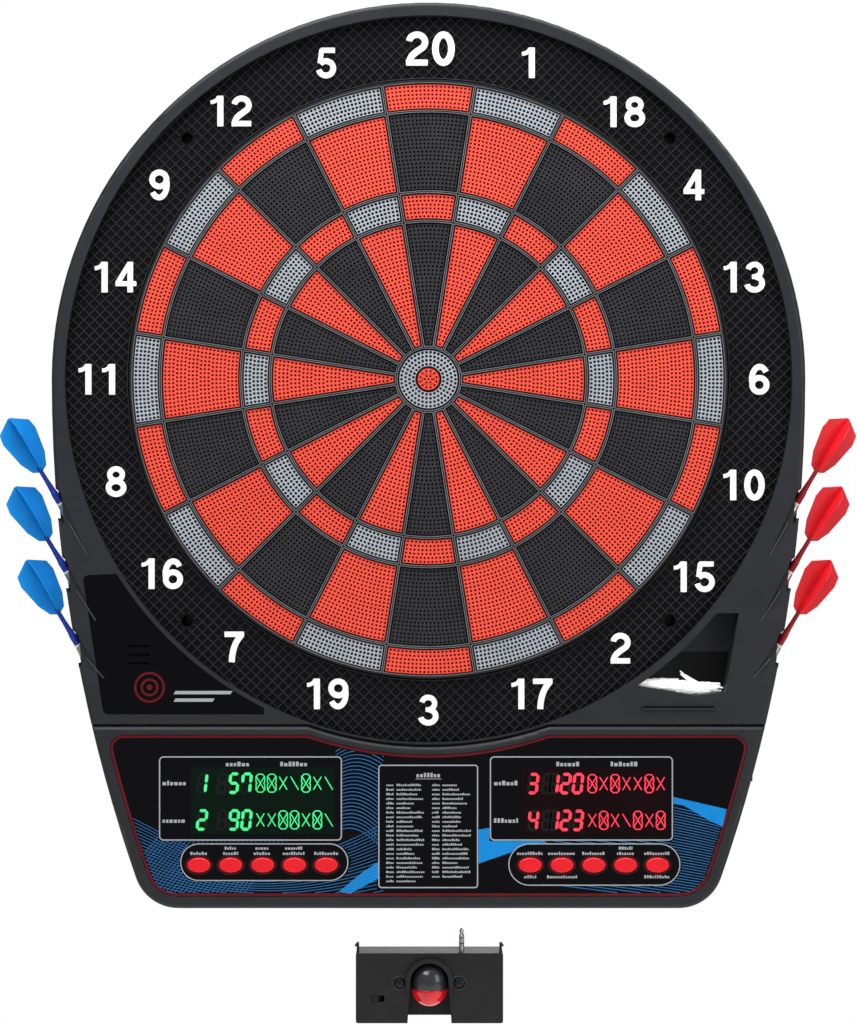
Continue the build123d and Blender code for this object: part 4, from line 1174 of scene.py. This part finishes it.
def build_spare_tips():
    """Loose heap of soft tips along the bottom of the pocket, a few of them standing up."""
    rng = random.Random(12)
    shape = Shape()
    for k in range(130):
        x = 140.5 + 39.0 * k / 129 + rng.uniform(-1.2, 1.2)
        z = heap_foot(x + 8.0) + rng.uniform(2.0, 6.4 if x > 150 else 4.4)
        depth = rng.uniform(24.0, 40.0)
        lean, swing = rng.uniform(-0.16, 0.12), rng.uniform(-0.5, 0.5)
        along = Vector((math.cos(lean) * math.cos(swing), math.sin(swing) * 0.6, math.sin(lean)))
        add_tip(shape, (x, -depth, z), along)
    for x, lean in ((181.0, 2.35), (183.0, 2.5), (186.5, 2.55)):
        add_tip(shape, (x, -30.0, -207.5), Vector((math.cos(lean), 0.0, math.sin(lean))))
    # The heap's material glows: painted light.
    heap = mesh("tip_heap", shape, HEAP_GLOW, BOARD, weld=0.001)
    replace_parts(heap, "spare_tips")


# ---------------------------------------------------------------- build and stage

build_segments()
build_bulls()
build_spider()
build_web_lines()
build_catch_grid()
build_numerals()
build_panel_art()
build_panel_print()
build_displays()
build_emblem()
build_darts()
build_laser_head()
build_case_screws()
build_plug()
build_worn_edges()
build_wall_screws()
build_spare_tips()

paint(HOUSING, "upper_housing", "console_housing")
paint(COVER, "rear_cover")
paint(SCREW, "housing_screws")
paint(RING, "catch_ring")
paint(PANEL, "console_panel")
paint(BADGE, "badge_panel")
paint(RUBBER, "sensor_mat")
paint(FILM, "sensor_membrane", "ribbon_cables")
paint(DARK, "backing_board", "display_modules", "button_switches", "power_jack", "speaker", "laser_switch")
paint(BOARD_GREEN, "main_board")
paint(BUTTON, *[f"button_{k + 1}" for k in range(len(BUTTON_X))])
paint(TIP, "spare_tips")
paint(LASER, "laser_case")
paint(HOOD, "laser_dome")
paint(STEEL, "laser_jack_plug")


def add_light(name, place, aim, size, power):
    """Rectangular area light at a place, turned to face a point."""
    data = bpy.data.lights.new(name, "AREA")
    data.shape = "RECTANGLE"
    data.size, data.size_y = size
    data.energy = power
    item = bpy.data.objects.new(name, data)
    bpy.context.scene.collection.objects.link(item)
    item.location = place
    item.rotation_euler = (Vector(aim) - Vector(place)).to_track_quat("-Z", "Y").to_euler()


def build_stage():
    """Pale floor well below the board, soft box lights and a white surround."""
    data = bpy.data.meshes.new("floor")
    size, level = 1.4, -0.75
    corners = [(-size, -size, level), (size, -size, level), (size, 1.1, level), (-size, 1.1, level)]
    data.from_pydata(corners, [], [(0, 1, 2, 3)])
    floor = bpy.data.objects.new("floor", data)
    bpy.context.scene.collection.objects.link(floor)
    data.materials.append(finish_material("floor", srgb(236, 236, 234), 0.7, mottle=0.02, grain=0.05))
    add_light("key", (-0.8, -1.3, 1.5), (0, 0, -0.05), (1.3, 0.9), 27)
    add_light("fill", (1.6, -1.3, 0.2), (0, 0, -0.1), (0.9, 1.4), 13)
    add_light("top", (0.0, -0.35, 1.2), (0, 0, 0.1), (1.4, 0.4), 24)
    add_light("back", (0.5, 1.5, 0.9), (0, 0, -0.1), (1.4, 1.0), 30)
    world = bpy.data.worlds.new("surround")
    bpy.context.scene.world = world
    world.use_nodes = True
    tree = world.node_tree
    paths = tree.nodes.new("ShaderNodeLightPath")
    level_node = tree.nodes.new("ShaderNodeMapRange")
    level_node.inputs["To Min"].default_value = 0.26
    level_node.inputs["To Max"].default_value = 1.0
    tree.links.new(paths.outputs["Is Camera Ray"], level_node.inputs["Value"])
    tree.links.new(level_node.outputs["Result"], tree.nodes["Background"].inputs["Strength"])
    tree.nodes["Background"].inputs["Color"].default_value = (1, 1, 1, 1)
    bpy.context.scene.view_settings.view_transform = "Standard"


def build_camera():
    """Straight-on view with a long lens."""
    data = bpy.data.cameras.new("camera")
    data.lens = 100.0
    data.sensor_width = 36.0
    camera = bpy.data.objects.new("camera", data)
    bpy.context.scene.collection.objects.link(camera)
    camera.location = (0.0, -1.940, -0.0886)
    camera.rotation_euler = (math.pi / 2, 0, 0)
    bpy.context.scene.camera = camera


build_stage()
build_camera()
